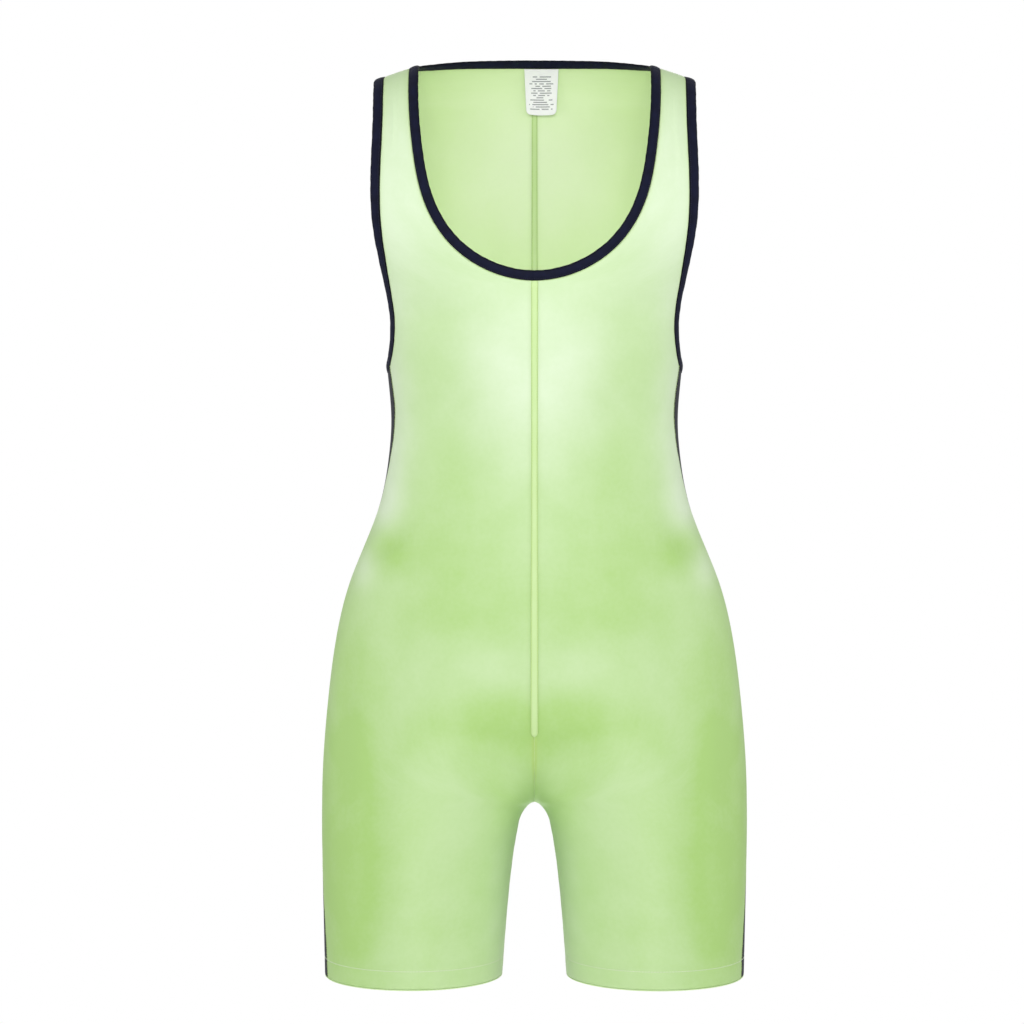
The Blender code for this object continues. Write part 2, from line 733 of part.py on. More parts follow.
def make_suit():
    """Every piece of the suit, each as one named object."""
    clear_scene()
    cloth = make_materials()
    front, back, side = panel_grid("front"), panel_grid("back"), side_panel_grid()
    for name, grid, colour in (
        ("front", front, "lime_knit"),
        ("back", back, "lime_knit"),
        ("side_panel", side, "navy_knit"),
    ):
        vertices, faces = wall(*grid, 0.0, CLOTH)
        add_pair(name, vertices, facing_outwards(vertices, faces), cloth[colour])
    add_piece("neck_binding", *make_neck_binding(front, back), cloth["navy_knit"])
    add_pair("armhole_binding", *make_armhole_binding(front, side, back), cloth["navy_knit"])
    tape_row = 1 + INSEAM_ROWS + CROTCH_ROWS
    outside = CLOTH + SEAM_GAP, CLOTH + SEAM_GAP + TAPE_THICKNESS
    inside = -SEAM_GAP - TAPE_THICKNESS, -SEAM_GAP
    front_top, back_top = tape_row + FRONT_CENTRE_ROWS, tape_row + BACK_CENTRE_ROWS
    front_tape = make_tape(front, tape_row, front_top, *outside)
    back_tape = make_tape(back, tape_row, back_top, *inside)
    add_piece("front_seam_tape", *front_tape, cloth["lime_knit"])
    add_piece("back_seam_tape", *back_tape, cloth["lime_knit"])
    add_pair("hem", *make_hem(front, side, back), cloth["lime_knit"])
    add_piece("neck_label", *make_label(), cloth["label_satin"])


make_suit()
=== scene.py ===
import math

import bpy
import numpy as np
from mathutils import Matrix, Vector


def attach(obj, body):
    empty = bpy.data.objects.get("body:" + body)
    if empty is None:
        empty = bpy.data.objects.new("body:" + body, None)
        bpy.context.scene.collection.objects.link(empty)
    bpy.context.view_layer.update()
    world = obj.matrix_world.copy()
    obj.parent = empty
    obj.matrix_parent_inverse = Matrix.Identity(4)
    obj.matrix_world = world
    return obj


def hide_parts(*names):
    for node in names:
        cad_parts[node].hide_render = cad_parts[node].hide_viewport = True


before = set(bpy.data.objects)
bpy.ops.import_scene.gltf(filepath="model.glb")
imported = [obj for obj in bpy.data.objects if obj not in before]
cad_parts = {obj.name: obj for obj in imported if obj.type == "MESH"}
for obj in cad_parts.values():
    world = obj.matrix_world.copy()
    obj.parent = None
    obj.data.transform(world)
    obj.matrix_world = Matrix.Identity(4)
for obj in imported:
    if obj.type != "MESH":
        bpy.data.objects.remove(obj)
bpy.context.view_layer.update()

# The suit's own sizes in metres, and the shares and powers that shape it
suit = {
    "hemDrop": 0.8065,
    "crotchDrop": 0.651,
    "hemDepth": 0.017,
    "cloth": 0.0012,
    "seamGap": 0.0003,
    "strapInnerX": 0.1105,
    "ridgeHeight": -0.0020,
    "shoulderSlope": 0.36,
    "shoulderBend": 0.050,
    "shoulderRound": 0.20,
    "shoulderPower": 2.5,
    "innerGapAtHem": 0.0297,
    "innerGapPower": 0.34,
    "archFade": 8,
    "archRound": 0.0016,
    "archRoundDrop": 0.012,
    "archRoundReach": 0.0055,
    "archSoftness": 0.010,
    "archSoftAbove": 0.015,
    "archSoftReach": 0.060,
    "legSplitRise": 0.25,
    "frontCurveRise": 0.13,
    "backCurveRise": 0.16,
    "seamCurvePower": 2.2,
    "bridgeRise": 0.060,
    "bridgeShare": 0.90,
    "armholeBottomDrop": 0.2705,
    "armholeCornerDrop": 0.2640,
    "sidePanelWidth": 0.045,
    "tapeEndDrop": 0.585,
}
tiny = 1e-9
sectionPoints = 121

# drop, half width, front, back, squareness of front and back
figureTable = np.array([
    (0.000, 0.2020, 0.1010, 0.0900, 0.20, 0.20),
    (0.060, 0.1970, 0.1050, 0.0940, 0.22, 0.22),
    (0.110, 0.1850, 0.1090, 0.0970, 0.24, 0.24),
    (0.150, 0.1660, 0.1110, 0.0965, 0.25, 0.24),
    (0.190, 0.1430, 0.1105, 0.0920, 0.25, 0.23),
    (0.225, 0.1330, 0.1070, 0.0860, 0.24, 0.22),
    (0.262, 0.1300, 0.1010, 0.0790, 0.22, 0.20),
    (0.310, 0.1262, 0.0940, 0.0710, 0.20, 0.18),
    (0.345, 0.1285, 0.0920, 0.0695, 0.18, 0.16),
    (0.383, 0.1355, 0.0930, 0.0750, 0.16, 0.14),
    (0.418, 0.1480, 0.0955, 0.0840, 0.14, 0.12),
    (0.454, 0.1625, 0.0980, 0.0940, 0.12, 0.10),
    (0.500, 0.1745, 0.0995, 0.1035, 0.10, 0.08),
    (0.560, 0.1828, 0.0990, 0.1095, 0.08, 0.06),
    (0.620, 0.1876, 0.0975, 0.1060, 0.06, 0.05),
    (0.680, 0.1886, 0.0955, 0.0970, 0.05, 0.04),
    (0.745, 0.1875, 0.0925, 0.0890, 0.05, 0.04),
    (0.810, 0.1862, 0.0890, 0.0840, 0.05, 0.04),
])

# Seam lines as they look from the front, x and z
seamLines = {
    "neckFront": np.array([
        (0.0000, -0.1905), (0.0460, -0.1790), (0.0755, -0.1560), (0.0960, -0.1205),
        (0.1055, -0.0780), (0.1095, -0.0380), (0.1105, -0.0020),
    ]),
    "neckBack": np.array([(0.0000, 0.0031), (0.0400, 0.0028), (0.0800, 0.0010), (0.1105, -0.0020)]),
    "armholeFront": np.array([
        (0.1325, -0.0100), (0.1320, -0.0500), (0.1335, -0.1000), (0.1317, -0.1500),
        (0.1245, -0.2000), (0.1218, -0.2350),
    ]),
    "armholeBack": np.array([
        (0.1325, -0.0100), (0.1315, -0.0450), (0.1305, -0.0900), (0.1290, -0.1400),
        (0.1240, -0.1900), (0.1218, -0.2300),
    ]),
    # drop, and how far the side panel's front seam lies ahead of the side line
    "side": np.array([
        (0.2640, 0.0270), (0.2850, 0.0298), (0.3000, 0.0300), (0.3160, 0.0268), (0.3370, 0.0210),
        (0.3590, 0.0115), (0.3790, 0.0030), (0.4300, -0.0080), (0.5500, -0.0110), (0.6500, -0.0070),
        (0.7000, 0.0035), (0.7330, 0.0140), (0.7660, 0.0235), (0.7910, 0.0270), (0.8100, 0.0275),
    ]),
}

# How finely each stretch of a panel's edge is divided, in rows of the solids times the finer step
rowPlan = {
    "finer": 5,
    "inseam": 9,
    "inseamGrading": 1.8,
    "crotch": 6,
    "frontCentre": 15,
    "frontNeck": 12,
    "backCentre": 21,
    "backNeck": 6,
    "side": 26,
    "hemLevels": (0.0, 0.0004, 0.0010, 0.0020, 0.0040, 0.0075, 0.0110, 0.0135, 0.0150, 0.0160, 0.0170),
    "edgeSteps": (0.0, 0.0005, 0.0012, 0.0021, 0.0033),
    "middleColumns": 44,
    "sideColumns": 16,
    "armholeKnots": 13,
}


def naturalSpline(knots, values):
    x, y = np.asarray(knots, float), np.asarray(values, float)
    step = np.diff(x)
    matrix, right = np.eye(len(x)), np.zeros_like(y)
    for i in range(1, len(x) - 1):
        matrix[i, i - 1 : i + 2] = step[i - 1], 2 * (step[i - 1] + step[i]), step[i]
        right[i] = 6 * ((y[i + 1] - y[i]) / step[i] - (y[i] - y[i - 1]) / step[i - 1])
    bend = np.linalg.solve(matrix, right)

    def value(at):
        at = np.clip(np.asarray(at, float), x[0], x[-1])
        i = np.clip(np.searchsorted(x, at, side="right") - 1, 0, len(x) - 2)
        before, after, gap = (at - x[i])[..., None], (x[i + 1] - at)[..., None], step[i][..., None]
        return (
            (bend[i] * after**3 + bend[i + 1] * before**3) / (6 * gap)
            + (y[i] / gap - bend[i] * gap / 6) * after
            + (y[i + 1] / gap - bend[i + 1] * gap / 6) * before
        )

    return value


def distanceAlong(points, axis):
    steps = np.linalg.norm(np.diff(points, axis=axis), axis=-1)
    start = np.zeros_like(np.take(steps, [0], axis=axis))
    return np.concatenate((start, np.cumsum(steps, axis=axis)), axis=axis)


def travelledAlong(line):
    return distanceAlong(np.asarray(line, float)[None], 1)[0]


def pointsAt(at, travelled, line):
    # Points at the given distances along a line
    return np.stack([np.interp(at, travelled, line[:, i]) for i in range(line.shape[1])], axis=1)


def splineByLength(points):
    at = travelledAlong(points)
    return naturalSpline(at / at[-1], points)


def ease(share):
    share = np.clip(share, 0.0, 1.0)
    return share * share * (3 - 2 * share)


figureAt = naturalSpline(figureTable[:, 0], figureTable[:, 1:])
seamAheadAt = naturalSpline(seamLines["side"][:, 0], seamLines["side"][:, 1:])


def shoulderLift(x, drop):
    fall = np.hypot(x, suit["shoulderBend"]) - math.hypot(suit["strapInnerX"], suit["shoulderBend"])
    return (suit["ridgeHeight"] - suit["shoulderSlope"] * fall) * (1 - ease(drop / suit["shoulderRound"]))


def quarterOutline(width, depth, square, centre, gap, softGap, root, bridge):
    t = np.linspace(0, 1, sectionPoints)[None, :]
    start = np.arcsin(np.minimum(root / depth, 1 - tiny))
    turn = start + (math.pi / 2 - start) * t
    inward = np.cos(turn) / np.cos(start)
    legX = centre - (centre - softGap - (gap - softGap) * inward ** suit["archFade"]) * inward
    legY = depth * np.sin(turn)
    innerX = legX + bridge * (centre * t - legX)
    innerY = legY + bridge * (root + (depth - root) * (3 * t**2 - 2 * t**3) - legY)
    angle = t[:, 1:] * math.pi / 2
    outerX = centre + (width - centre) * np.sin(angle)
    outerY = depth * np.cos(angle) * (1 + square * np.sin(angle) ** 2)
    x, y = np.concatenate((innerX, outerX), axis=1), np.concatenate((innerY, outerY), axis=1)
    steps = np.hypot(np.diff(x, axis=1), np.diff(y, axis=1))
    length = np.concatenate((np.zeros((len(x), 1)), np.cumsum(steps, axis=1)), axis=1)
    return x, y, length / length[:, -1:], length[:, -1]


def levelOutlines(drops):
    # Front and back half of the +X side of each level, from the centre seam out to the side line
    width, front, back, frontSquare, backSquare = (c[:, None] for c in figureAt(drops).T)
    drop = drops[:, None]
    above = suit["crotchDrop"] - drop
    legLength = suit["hemDrop"] - suit["crotchDrop"]
    below, gapPower = np.maximum(-above, 0), suit["innerGapPower"]
    gap = suit["innerGapAtHem"] * (below / legLength) ** gapPower
    softGap = suit["innerGapAtHem"] * (np.hypot(below, suit["archSoftness"]) / legLength) ** gapPower
    softGap = softGap * ease((suit["archSoftAbove"] - above) / suit["archSoftReach"])
    gap = gap + suit["archRound"] * np.exp(-(((above + suit["archRoundDrop"]) / suit["archRoundReach"]) ** 2))
    centre = (width + gap) / 2 * (1 - ease(above / suit["legSplitRise"]))
    bridge = suit["bridgeShare"] * ease(above / suit["bridgeRise"])
    left = 1 - np.minimum(drop / suit["shoulderRound"], 1.0)
    full = np.maximum((1 - left ** suit["shoulderPower"]) ** (1 / suit["shoulderPower"]), tiny)
    halves = []
    for depth, square, rise in (
        (front * full, frontSquare, suit["frontCurveRise"]),
        (back * full, backSquare, suit["backCurveRise"]),
    ):
        away = 1 - np.minimum(np.maximum(above, 0) / rise, 1.0)
        power = suit["seamCurvePower"]
        root = depth * (1 - away**power) ** (1 / power)
        halves.append(quarterOutline(width, depth, square, centre, gap, softGap, root, bridge))
    return halves


def lookUp(at, known, values):
    # Linear look-up of one number in each row
    i = np.clip((known <= at[:, None]).sum(axis=1) - 1, 0, known.shape[1] - 2)
    row = np.arange(len(at))
    low, high = known[row, i], known[row, i + 1]
    part = np.clip((at - low) / np.maximum(high - low, 1e-15), 0, 1)
    return values[row, i] + (values[row, i + 1] - values[row, i]) * part


def surfacePoints(shares, drops):
    shape = np.shape(shares)
    shares, drops = np.ravel(np.asarray(shares, float)), np.ravel(np.asarray(drops, float))
    points = np.empty((len(shares), 3))
    for start in range(0, len(shares), 4000):
        part = slice(start, start + 4000)
        share, drop = shares[part], drops[part]
        frontHalf, backHalf = levelOutlines(drop)
        ahead = share <= 1
        at = np.where(ahead, share, 2 - share)
        x = np.where(ahead, lookUp(at, frontHalf[2], frontHalf[0]), lookUp(at, backHalf[2], backHalf[0]))
        y = np.where(ahead, -lookUp(at, frontHalf[2], frontHalf[1]), lookUp(at, backHalf[2], backHalf[1]))
        points[part] = np.stack((x, y, shoulderLift(x, drop) - drop), axis=1)
    return points.reshape(shape + (3,))


def unit(vectors):
    return vectors / np.maximum(np.linalg.norm(vectors, axis=-1, keepdims=True), 1e-12)


def outwardNormals(shares, drops):
    onSeam = (shares < tiny) | (shares > 2 - tiny)
    fromCrotch = np.abs(suit["crotchDrop"] - drops)
    step = np.clip(fromCrotch / 2, 1e-5, 0.0005)
    down = surfacePoints(shares, drops + step) - surfacePoints(shares, np.maximum(drops - step, 0))
    high, low = np.minimum(shares + 0.012, 2), np.maximum(shares - 0.012, 0)
    normals = np.cross(down, surfacePoints(high, drops) - surfacePoints(low, drops))
    facing = np.where(shares < 1, -1.0, 1.0)
    zero = np.zeros_like(shares)
    centreNormal = np.stack((zero, -facing * down[..., 2], facing * down[..., 1]), axis=-1)
    inseamNormal = np.stack((down[..., 2], zero, -down[..., 0]), axis=-1)
    aboveCrotch = drops < suit["crotchDrop"]
    normals = np.where((onSeam & aboveCrotch)[..., None], centreNormal, normals)
    normals = np.where((onSeam & ~aboveCrotch)[..., None], inseamNormal, normals)
    normals = np.where((onSeam & (fromCrotch < 1e-7))[..., None], (0.0, 0.0, -1.0), normals)
    x = surfacePoints(shares, zero)[..., 0]
    top = np.stack((suit["shoulderSlope"] * x / np.hypot(x, suit["shoulderBend"]), zero, zero + 1), axis=-1)
    return unit(np.where((drops < tiny)[..., None], top, normals))


def place(x, z, face):
    # Share and drop of points that look to be at x and z from the front or the back
    x, z = np.atleast_1d(np.asarray(x, float)), np.atleast_1d(np.asarray(z, float))
    drop = -z
    for _ in range(40):
        drop = shoulderLift(x, drop) - z
    drop = np.maximum(drop, 0.0)
    half = levelOutlines(drop)[0 if face == "front" else 1]
    share = lookUp(x, half[0], half[2])
    return (share, drop) if face == "front" else (2 - share, drop)


def sideShare(ahead, drop):
    frontHalf, backHalf = levelOutlines(np.atleast_1d(drop))
    return 1 - ahead / np.where(ahead >= 0, frontHalf[3], backHalf[3])


def neckLine(face):
    seam = seamLines["neckFront" if face == "front" else "neckBack"]
    whole = splineByLength(np.concatenate((seam[:0:-1] * (-1, 1), seam)))

    def line(t):
        x, z = whole(0.5 + 0.5 * t).T
        share, drop = place(np.maximum(x, 0.0), z, face)
        return share, np.where(t < 1, drop, 0.0)

    return line


def armholeLine():
    corner = float(seamAheadAt(suit["armholeCornerDrop"])[0])
    ahead = np.array((corner, 0.0, corner - suit["sidePanelWidth"]))
    drops = np.array((suit["armholeCornerDrop"], suit["armholeBottomDrop"], suit["armholeCornerDrop"]))
    bottom = np.stack((sideShare(ahead, drops), drops), axis=1)
    ends = []
    for face, seam in (("front", "armholeFront"), ("back", "armholeBack")):
        at = splineByLength(seamLines[seam])(np.linspace(0, 1, rowPlan["armholeKnots"]) ** 2)
        knots = np.stack(place(at[:, 0], at[:, 1], face), axis=1)
        knots[0, 1] = 0.0
        ends.append(knots)
    scaled = np.concatenate((ends[0], bottom, ends[1][::-1])) * (0.2, 1.0)
    whole = splineByLength(scaled)
    at = travelledAlong(scaled)
    corners = [at[len(ends[0]) + i] / at[-1] for i in (0, 2)]

    def line(t):
        share, drop = (whole(t) / (0.2, 1.0)).T
        return share, np.maximum(drop, 0.0)

    return line, corners


def stations(line, start, end, rows, grading=1.0):
    ts = np.linspace(start, end, 241)
    travelled = travelledAlong(surfacePoints(*line(ts)))
    wanted = travelled[-1] * (1 - (1 - np.linspace(0, 1, rows + 1)) ** grading)
    return np.stack(line(np.interp(wanted, travelled, ts)), axis=1)


def straightSeam(share, low, high):
    return lambda t: (np.full_like(t, share), low + (high - low) * t)


def hemDrops():
    return suit["hemDrop"] - np.array(rowPlan["hemLevels"])


def sideSeamDrops():
    top = np.linspace(suit["hemDrop"] - suit["hemDepth"], suit["armholeCornerDrop"],
                      rowPlan["side"] * rowPlan["finer"] + 1)
    return np.concatenate((hemDrops()[:-1], top))


armhole, (frontCorner, backCorner) = armholeLine()


def panelEdges(face):
    # Inner and outer edge of a front or back panel, row by row, hem first
    k, front = rowPlan["finer"], face == "front"
    share = 0.0 if front else 2.0
    neck = neckLine(face)
    neckDrop = float(neck(np.array([0.0]))[1][0])
    levels = (suit["hemDrop"] - suit["hemDepth"], suit["crotchDrop"], suit["tapeEndDrop"], neckDrop)
    counts = (rowPlan["inseam"] * k, rowPlan["crotch"] * k, rowPlan[face + "Centre"] * k)
    inner = [np.stack((np.full(len(hemDrops()) - 1, share), hemDrops()[:-1]), axis=1)]
    for i, count in enumerate(counts):
        grading = rowPlan["inseamGrading"] if i == 0 else 1.0
        inner.append(stations(straightSeam(share, levels[i], levels[i + 1]), 0, 1, count, grading)[min(i, 1):])
    inner.append(stations(neck, 0, 1, rowPlan[face + "Neck"] * k)[1:])
    ends = np.cumsum([len(part) for part in inner]) - 1
    rowOf = dict(zip(("crotch", "tapeEnd", "neck"), (int(end) for end in ends[1:4])))
    inner = np.concatenate(inner)
    drops = sideSeamDrops()
    ahead = seamAheadAt(drops)[:, 0] - (0 if front else suit["sidePanelWidth"])
    ahead = ahead + (suit["seamGap"] / 2 if front else -suit["seamGap"] / 2)
    outer = np.stack((sideShare(ahead, drops), drops), axis=1)
    rowOf["armhole"] = len(outer) - 1
    span = (frontCorner, 0.0) if front else (backCorner, 1.0)
    rest = stations(armhole, *span, len(inner) - len(outer))[1:]
    return inner, np.concatenate((outer, rest)), rowOf


def columnShares(lengths, middle):
    # Where the columns stand in each row, closer together at both edges
    steps = np.array(rowPlan["edgeSteps"])[None, :] / lengths[:, None]
    last = steps[:, -1:]
    even = np.linspace(0, 1, middle + 2)[None, 1:-1]
    between = last + (1 - 2 * last) * even
    return np.concatenate((steps, between, 1 - steps[:, ::-1]), axis=1)


# Reach above and below the crotch, start and fading in from the centre, fading out at the side
softening = {"reach": 0.022, "edge": 0.004, "fadeIn": 0.020, "fadeOut": 0.05, "rounds": 40}


def softenAtCrotch(grid):
    # Rounds off the bend where the form of the hips passes into the legs, away from the panel's edges
    points, normals, drops = grid["points"], grid["normals"], grid["drops"]
    across = distanceAlong(points, 1)
    share = np.exp(-(((drops - suit["crotchDrop"]) / softening["reach"]) ** 2))
    share = share * ease((across - softening["edge"]) / softening["fadeIn"])
    share = share * ease((across[:, -1:] - across) / softening["fadeOut"])
    weight = (share[1:-1] / 2)[..., None]
    for _ in range(softening["rounds"]):
        for field in (points, normals):
            field[1:-1] += weight * ((field[:-2] + field[2:]) / 2 - field[1:-1])
    grid["normals"] = unit(normals)
    return grid


def panelGrid(face):
    inner, outer, rowOf = panelEdges(face)
    v = np.linspace(0, 1, 25)[None, :]
    rough = surfacePoints(inner[:, :1] + (outer[:, :1] - inner[:, :1]) * v,
                          inner[:, 1:] + (outer[:, 1:] - inner[:, 1:]) * v)
    v = columnShares(distanceAlong(rough, 1)[:, -1], rowPlan["middleColumns"])
    shares = inner[:, :1] + (outer[:, :1] - inner[:, :1]) * v
    drops = inner[:, 1:] + (outer[:, 1:] - inner[:, 1:]) * v
    shares[:, 0], drops[:, 0] = inner[:, 0], inner[:, 1]
    points, normals = surfacePoints(shares, drops), outwardNormals(shares, drops)
    gap = suit["seamGap"] / 2
    first = points[:, 0]
    aboveCrotch = drops[:, 0] <= suit["crotchDrop"] + tiny
    first[:, 0] = np.where(aboveCrotch, np.maximum(first[:, 0], gap), first[:, 0])
    facing = -gap if face == "front" else gap
    first[:, 1] = np.where(drops[:, 0] >= suit["crotchDrop"] - tiny, facing, first[:, 1])
    points[:, :, 1] = np.where(drops < tiny, facing, points[:, :, 1])
    return softenAtCrotch({"points": points, "normals": normals, "shares": shares, "drops": drops,
                           "rowOf": rowOf})


def sidePanelGrid():
    drops = sideSeamDrops()
    count = rowPlan["sideColumns"]
    v = columnShares(np.full(len(drops), suit["sidePanelWidth"]), count)
    topLine = stations(armhole, frontCorner, backCorner, 60)
    top = pointsAt(v[-1], np.linspace(0, 1, 61), topLine)
    rise = (suit["hemDrop"] - drops) / (suit["hemDrop"] - suit["armholeCornerDrop"])
    dropGrid = suit["hemDrop"] + (top[None, :, 1] - suit["hemDrop"]) * rise[:, None]
    ahead = (seamAheadAt(dropGrid.ravel())[:, 0].reshape(dropGrid.shape)
             - suit["sidePanelWidth"] * v - suit["seamGap"] * (0.5 - v))
    shares = sideShare(ahead.ravel(), dropGrid.ravel()).reshape(dropGrid.shape)
    towardsTop = (rise[:, None] ** 8) * np.where((v > 0.001) & (v < 0.999), 1.0, 0.0)
    shares = shares + (top[None, :, 0] - shares) * towardsTop
    return {"points": surfacePoints(shares, dropGrid), "normals": outwardNormals(shares, dropGrid),
            "shares": shares, "drops": dropGrid, "rowOf": {}}


grids = {"front": panelGrid("front"), "back": panelGrid("back"), "side": sidePanelGrid()}
print("stage: hollow form drawn,", {name: g["points"].shape[:2] for name, g in grids.items()})

# Creases, dents and swells of the worn cloth, each along a line of points seen from one face.
# depth is in millimetres, minus for a hollow; width is half the breadth of the soft trough
creases = {
    "frontForm": (
        ("front", -3.2, 26, ((-0.128, -0.405), (-0.124, -0.428))),
        ("front", -3.4, 25, ((0.130, -0.402), (0.126, -0.430))),
        ("front", -2.6, 30, ((-0.092, -0.200), (-0.086, -0.235))),
        ("front", -2.5, 30, ((0.094, -0.198), (0.090, -0.232))),
        ("front", -2.2, 28, ((-0.072, -0.285), (-0.060, -0.350))),
        ("front", -2.1, 28, ((0.076, -0.280), (0.064, -0.345))),
        ("front", 1.6, 34, ((0.000, -0.215), (0.002, -0.330))),
        ("front", 1.4, 30, ((0.004, -0.505), (0.006, -0.555))),
        ("front", -2.6, 17, ((-0.086, -0.580), (-0.045, -0.588), (-0.010, -0.596))),
        ("front", -2.7, 17, ((0.094, -0.578), (0.050, -0.590), (0.014, -0.598))),
        ("front", -1.6, 18, ((-0.160, -0.500), (-0.166, -0.580), (-0.168, -0.690))),
        ("front", -1.6, 18, ((0.162, -0.500), (0.168, -0.585), (0.168, -0.700))),
        ("front", 1.2, 22, ((-0.118, -0.600), (-0.120, -0.700))),
        ("front", 1.2, 22, ((0.122, -0.600), (0.120, -0.690))),
    ),
    "backForm": (
        ("back", -2.8, 26, ((-0.108, -0.390), (-0.102, -0.425))),
        ("back", -3.0, 26, ((0.110, -0.386), (0.104, -0.422))),
        ("back", -2.4, 16, ((0.000, -0.180), (0.002, -0.330))),
        ("back", -1.8, 26, ((-0.070, -0.100), (-0.080, -0.190))),
        ("back", -1.8, 26, ((0.072, -0.104), (0.082, -0.186))),
    ),
    "straps": (
        ("front", 0.55, 2.6, ((0.1235, -0.020), (0.1225, -0.048), (0.1250, -0.082))),
        ("front", -0.45, 2.2, ((0.1285, -0.016), (0.1290, -0.045), (0.1298, -0.066))),
        ("front", 0.40, 2.0, ((0.1180, -0.024), (0.1168, -0.050))),
        ("front", 0.35, 2.4, ((0.1262, -0.070), (0.1240, -0.115))),
        ("front", 0.50, 2.6, ((-0.1240, -0.022), (-0.1220, -0.056), (-0.1236, -0.074))),
        ("front", -0.40, 2.0, ((-0.1292, -0.020), (-0.1286, -0.058))),
        ("front", 0.42, 2.2, ((-0.1178, -0.018), (-0.1172, -0.038))),
        ("back", 0.50, 2.6, ((0.1225, -0.018), (0.1215, -0.060))),
        ("back", -0.40, 2.2, ((0.1275, -0.022), (0.1262, -0.050))),
        ("back", 0.48, 2.4, ((-0.1232, -0.016), (-0.1208, -0.052))),
        ("back", 0.36, 2.0, ((-0.1172, -0.026), (-0.1160, -0.070))),
    ),
    "waist": (
        ("front", -0.7, 5.0, ((-0.118, -0.372), (-0.100, -0.388), (-0.076, -0.394))),
        ("front", -0.6, 4.5, ((0.122, -0.366), (0.101, -0.380), (0.084, -0.384))),
        ("front", -0.5, 4.2, ((-0.113, -0.330), (-0.094, -0.338))),
        ("front", -0.5, 4.0, ((0.114, -0.322), (0.092, -0.333), (0.080, -0.334))),
        ("back", -0.9, 5.0, ((-0.112, -0.352), (-0.070, -0.368), (-0.030, -0.366))),
        ("back", -0.8, 4.6, ((0.110, -0.340), (0.080, -0.352), (0.044, -0.354))),
        ("back", -0.7, 4.2, ((-0.100, -0.318), (-0.062, -0.326))),
        ("back", -0.6, 4.4, ((0.098, -0.372), (0.052, -0.386), (0.020, -0.384))),
    ),
    "crotch": (
        ("front", -0.8, 4.5, ((0.012, -0.618), (0.042, -0.604), (0.078, -0.596))),
        ("front", -0.7, 4.2, ((-0.010, -0.620), (-0.036, -0.608), (-0.064, -0.602))),
        ("front", -0.6, 3.6, ((0.020, -0.640), (0.046, -0.628))),
        ("front", -0.5, 3.4, ((-0.018, -0.642), (-0.040, -0.633))),
        ("back", -1.4, 6.0, ((0.014, -0.600), (0.060, -0.618), (0.110, -0.612))),
        ("back", -1.3, 6.0, ((-0.014, -0.602), (-0.056, -0.620), (-0.104, -0.616))),
        ("back", -0.8, 4.2, ((0.030, -0.640), (0.070, -0.646))),
        ("back", -0.7, 4.0, ((-0.026, -0.642), (-0.074, -0.650))),
    ),
    "legs": (
        ("front", -0.5, 5.0, ((-0.070, -0.700), (-0.096, -0.722), (-0.130, -0.728))),
        ("front", -0.4, 4.6, ((0.076, -0.716), (0.102, -0.732))),
        ("back", -0.7, 5.0, ((-0.060, -0.690), (-0.100, -0.706), (-0.140, -0.702))),
        ("back", -0.6, 4.6, ((0.058, -0.700), (0.096, -0.718), (0.132, -0.714))),
    ),
}


def creasePath(face, line):
    knots = np.array(line)
    at = splineByLength(knots)(np.linspace(0, 1, 9)) if len(knots) > 2 else (
        knots[0] + (knots[1] - knots[0]) * np.linspace(0, 1, 5)[:, None])
    turned = np.where(at[:, :1] < 0, -1.0, 1.0)
    shares, drops = place(np.abs(at[:, 0]), at[:, 1], face)
    return surfacePoints(shares, drops) * np.concatenate((turned, turned * 0 + 1, turned * 0 + 1), axis=1)


creasePaths = [(depth / 1000, width / 1000, creasePath(face, line))
               for group in creases.values() for face, depth, width, line in group]


def creaseOffset(points):
    # How far the cloth stands off the plain form at each point, from all the creases together
    flat = points.reshape(-1, 3)
    total = np.zeros(len(flat))
    for depth, width, path in creasePaths:
        reach = width * 2.6
        near = np.all((flat > path.min(0) - reach) & (flat < path.max(0) + reach), axis=1)
        if not near.any():
            continue
        starts, runs = path[:-1], np.diff(path, axis=0)
        away = flat[near][:, None, :] - starts
        along = np.clip((away * runs).sum(-1) / (runs**2).sum(-1), 0, 1)
        gaps = np.linalg.norm(away - runs * along[..., None], axis=-1)
        best = gaps.argmin(axis=1)
        rows = np.arange(len(best))
        part = (best + along[rows, best]) / len(runs)
        taper = 0.25 + 0.75 * np.sin(math.pi * np.clip(0.04 + 0.92 * part, 0, 1)) ** 0.8
        total[near] += depth * taper * np.exp(-((gaps[rows, best] / width) ** 2))
    return total.reshape(points.shape[:-1])


panelShape = {
    "stitchRise": 0.0158,  # of the hem's stitch line above the edge
    "stitchPull": 0.00022,
    "stitchReach": 0.0011,
    "seamPull": 0.00020,
    "seamReach": 0.0035,
    "pucker": 0.00013,
    "puckerReach": 0.006,
    "roundOver": 0.0011,
    "roundDepth": 0.00045,
    "seamFade": 0.0022,
    # share of painted shading before any patch adds painted highlight or painted shade
    "paintedShadingBase": 0.42,
    "centreGap": 0.00003,  # half the gap left at the centre seam
    "gapBelowCrotch": 0.004,
    # the flat seam between tape and crotch: its middle, half its height, columns and rounding kept
    "flatSeam": (0.616, 0.030, 8, 0.25),
    # painted shade in the crease along it: start, fading in, end, fading out, half width
    "seamCreaseShade": (0.583, 0.004, 0.641, 0.030, 0.0030),
}


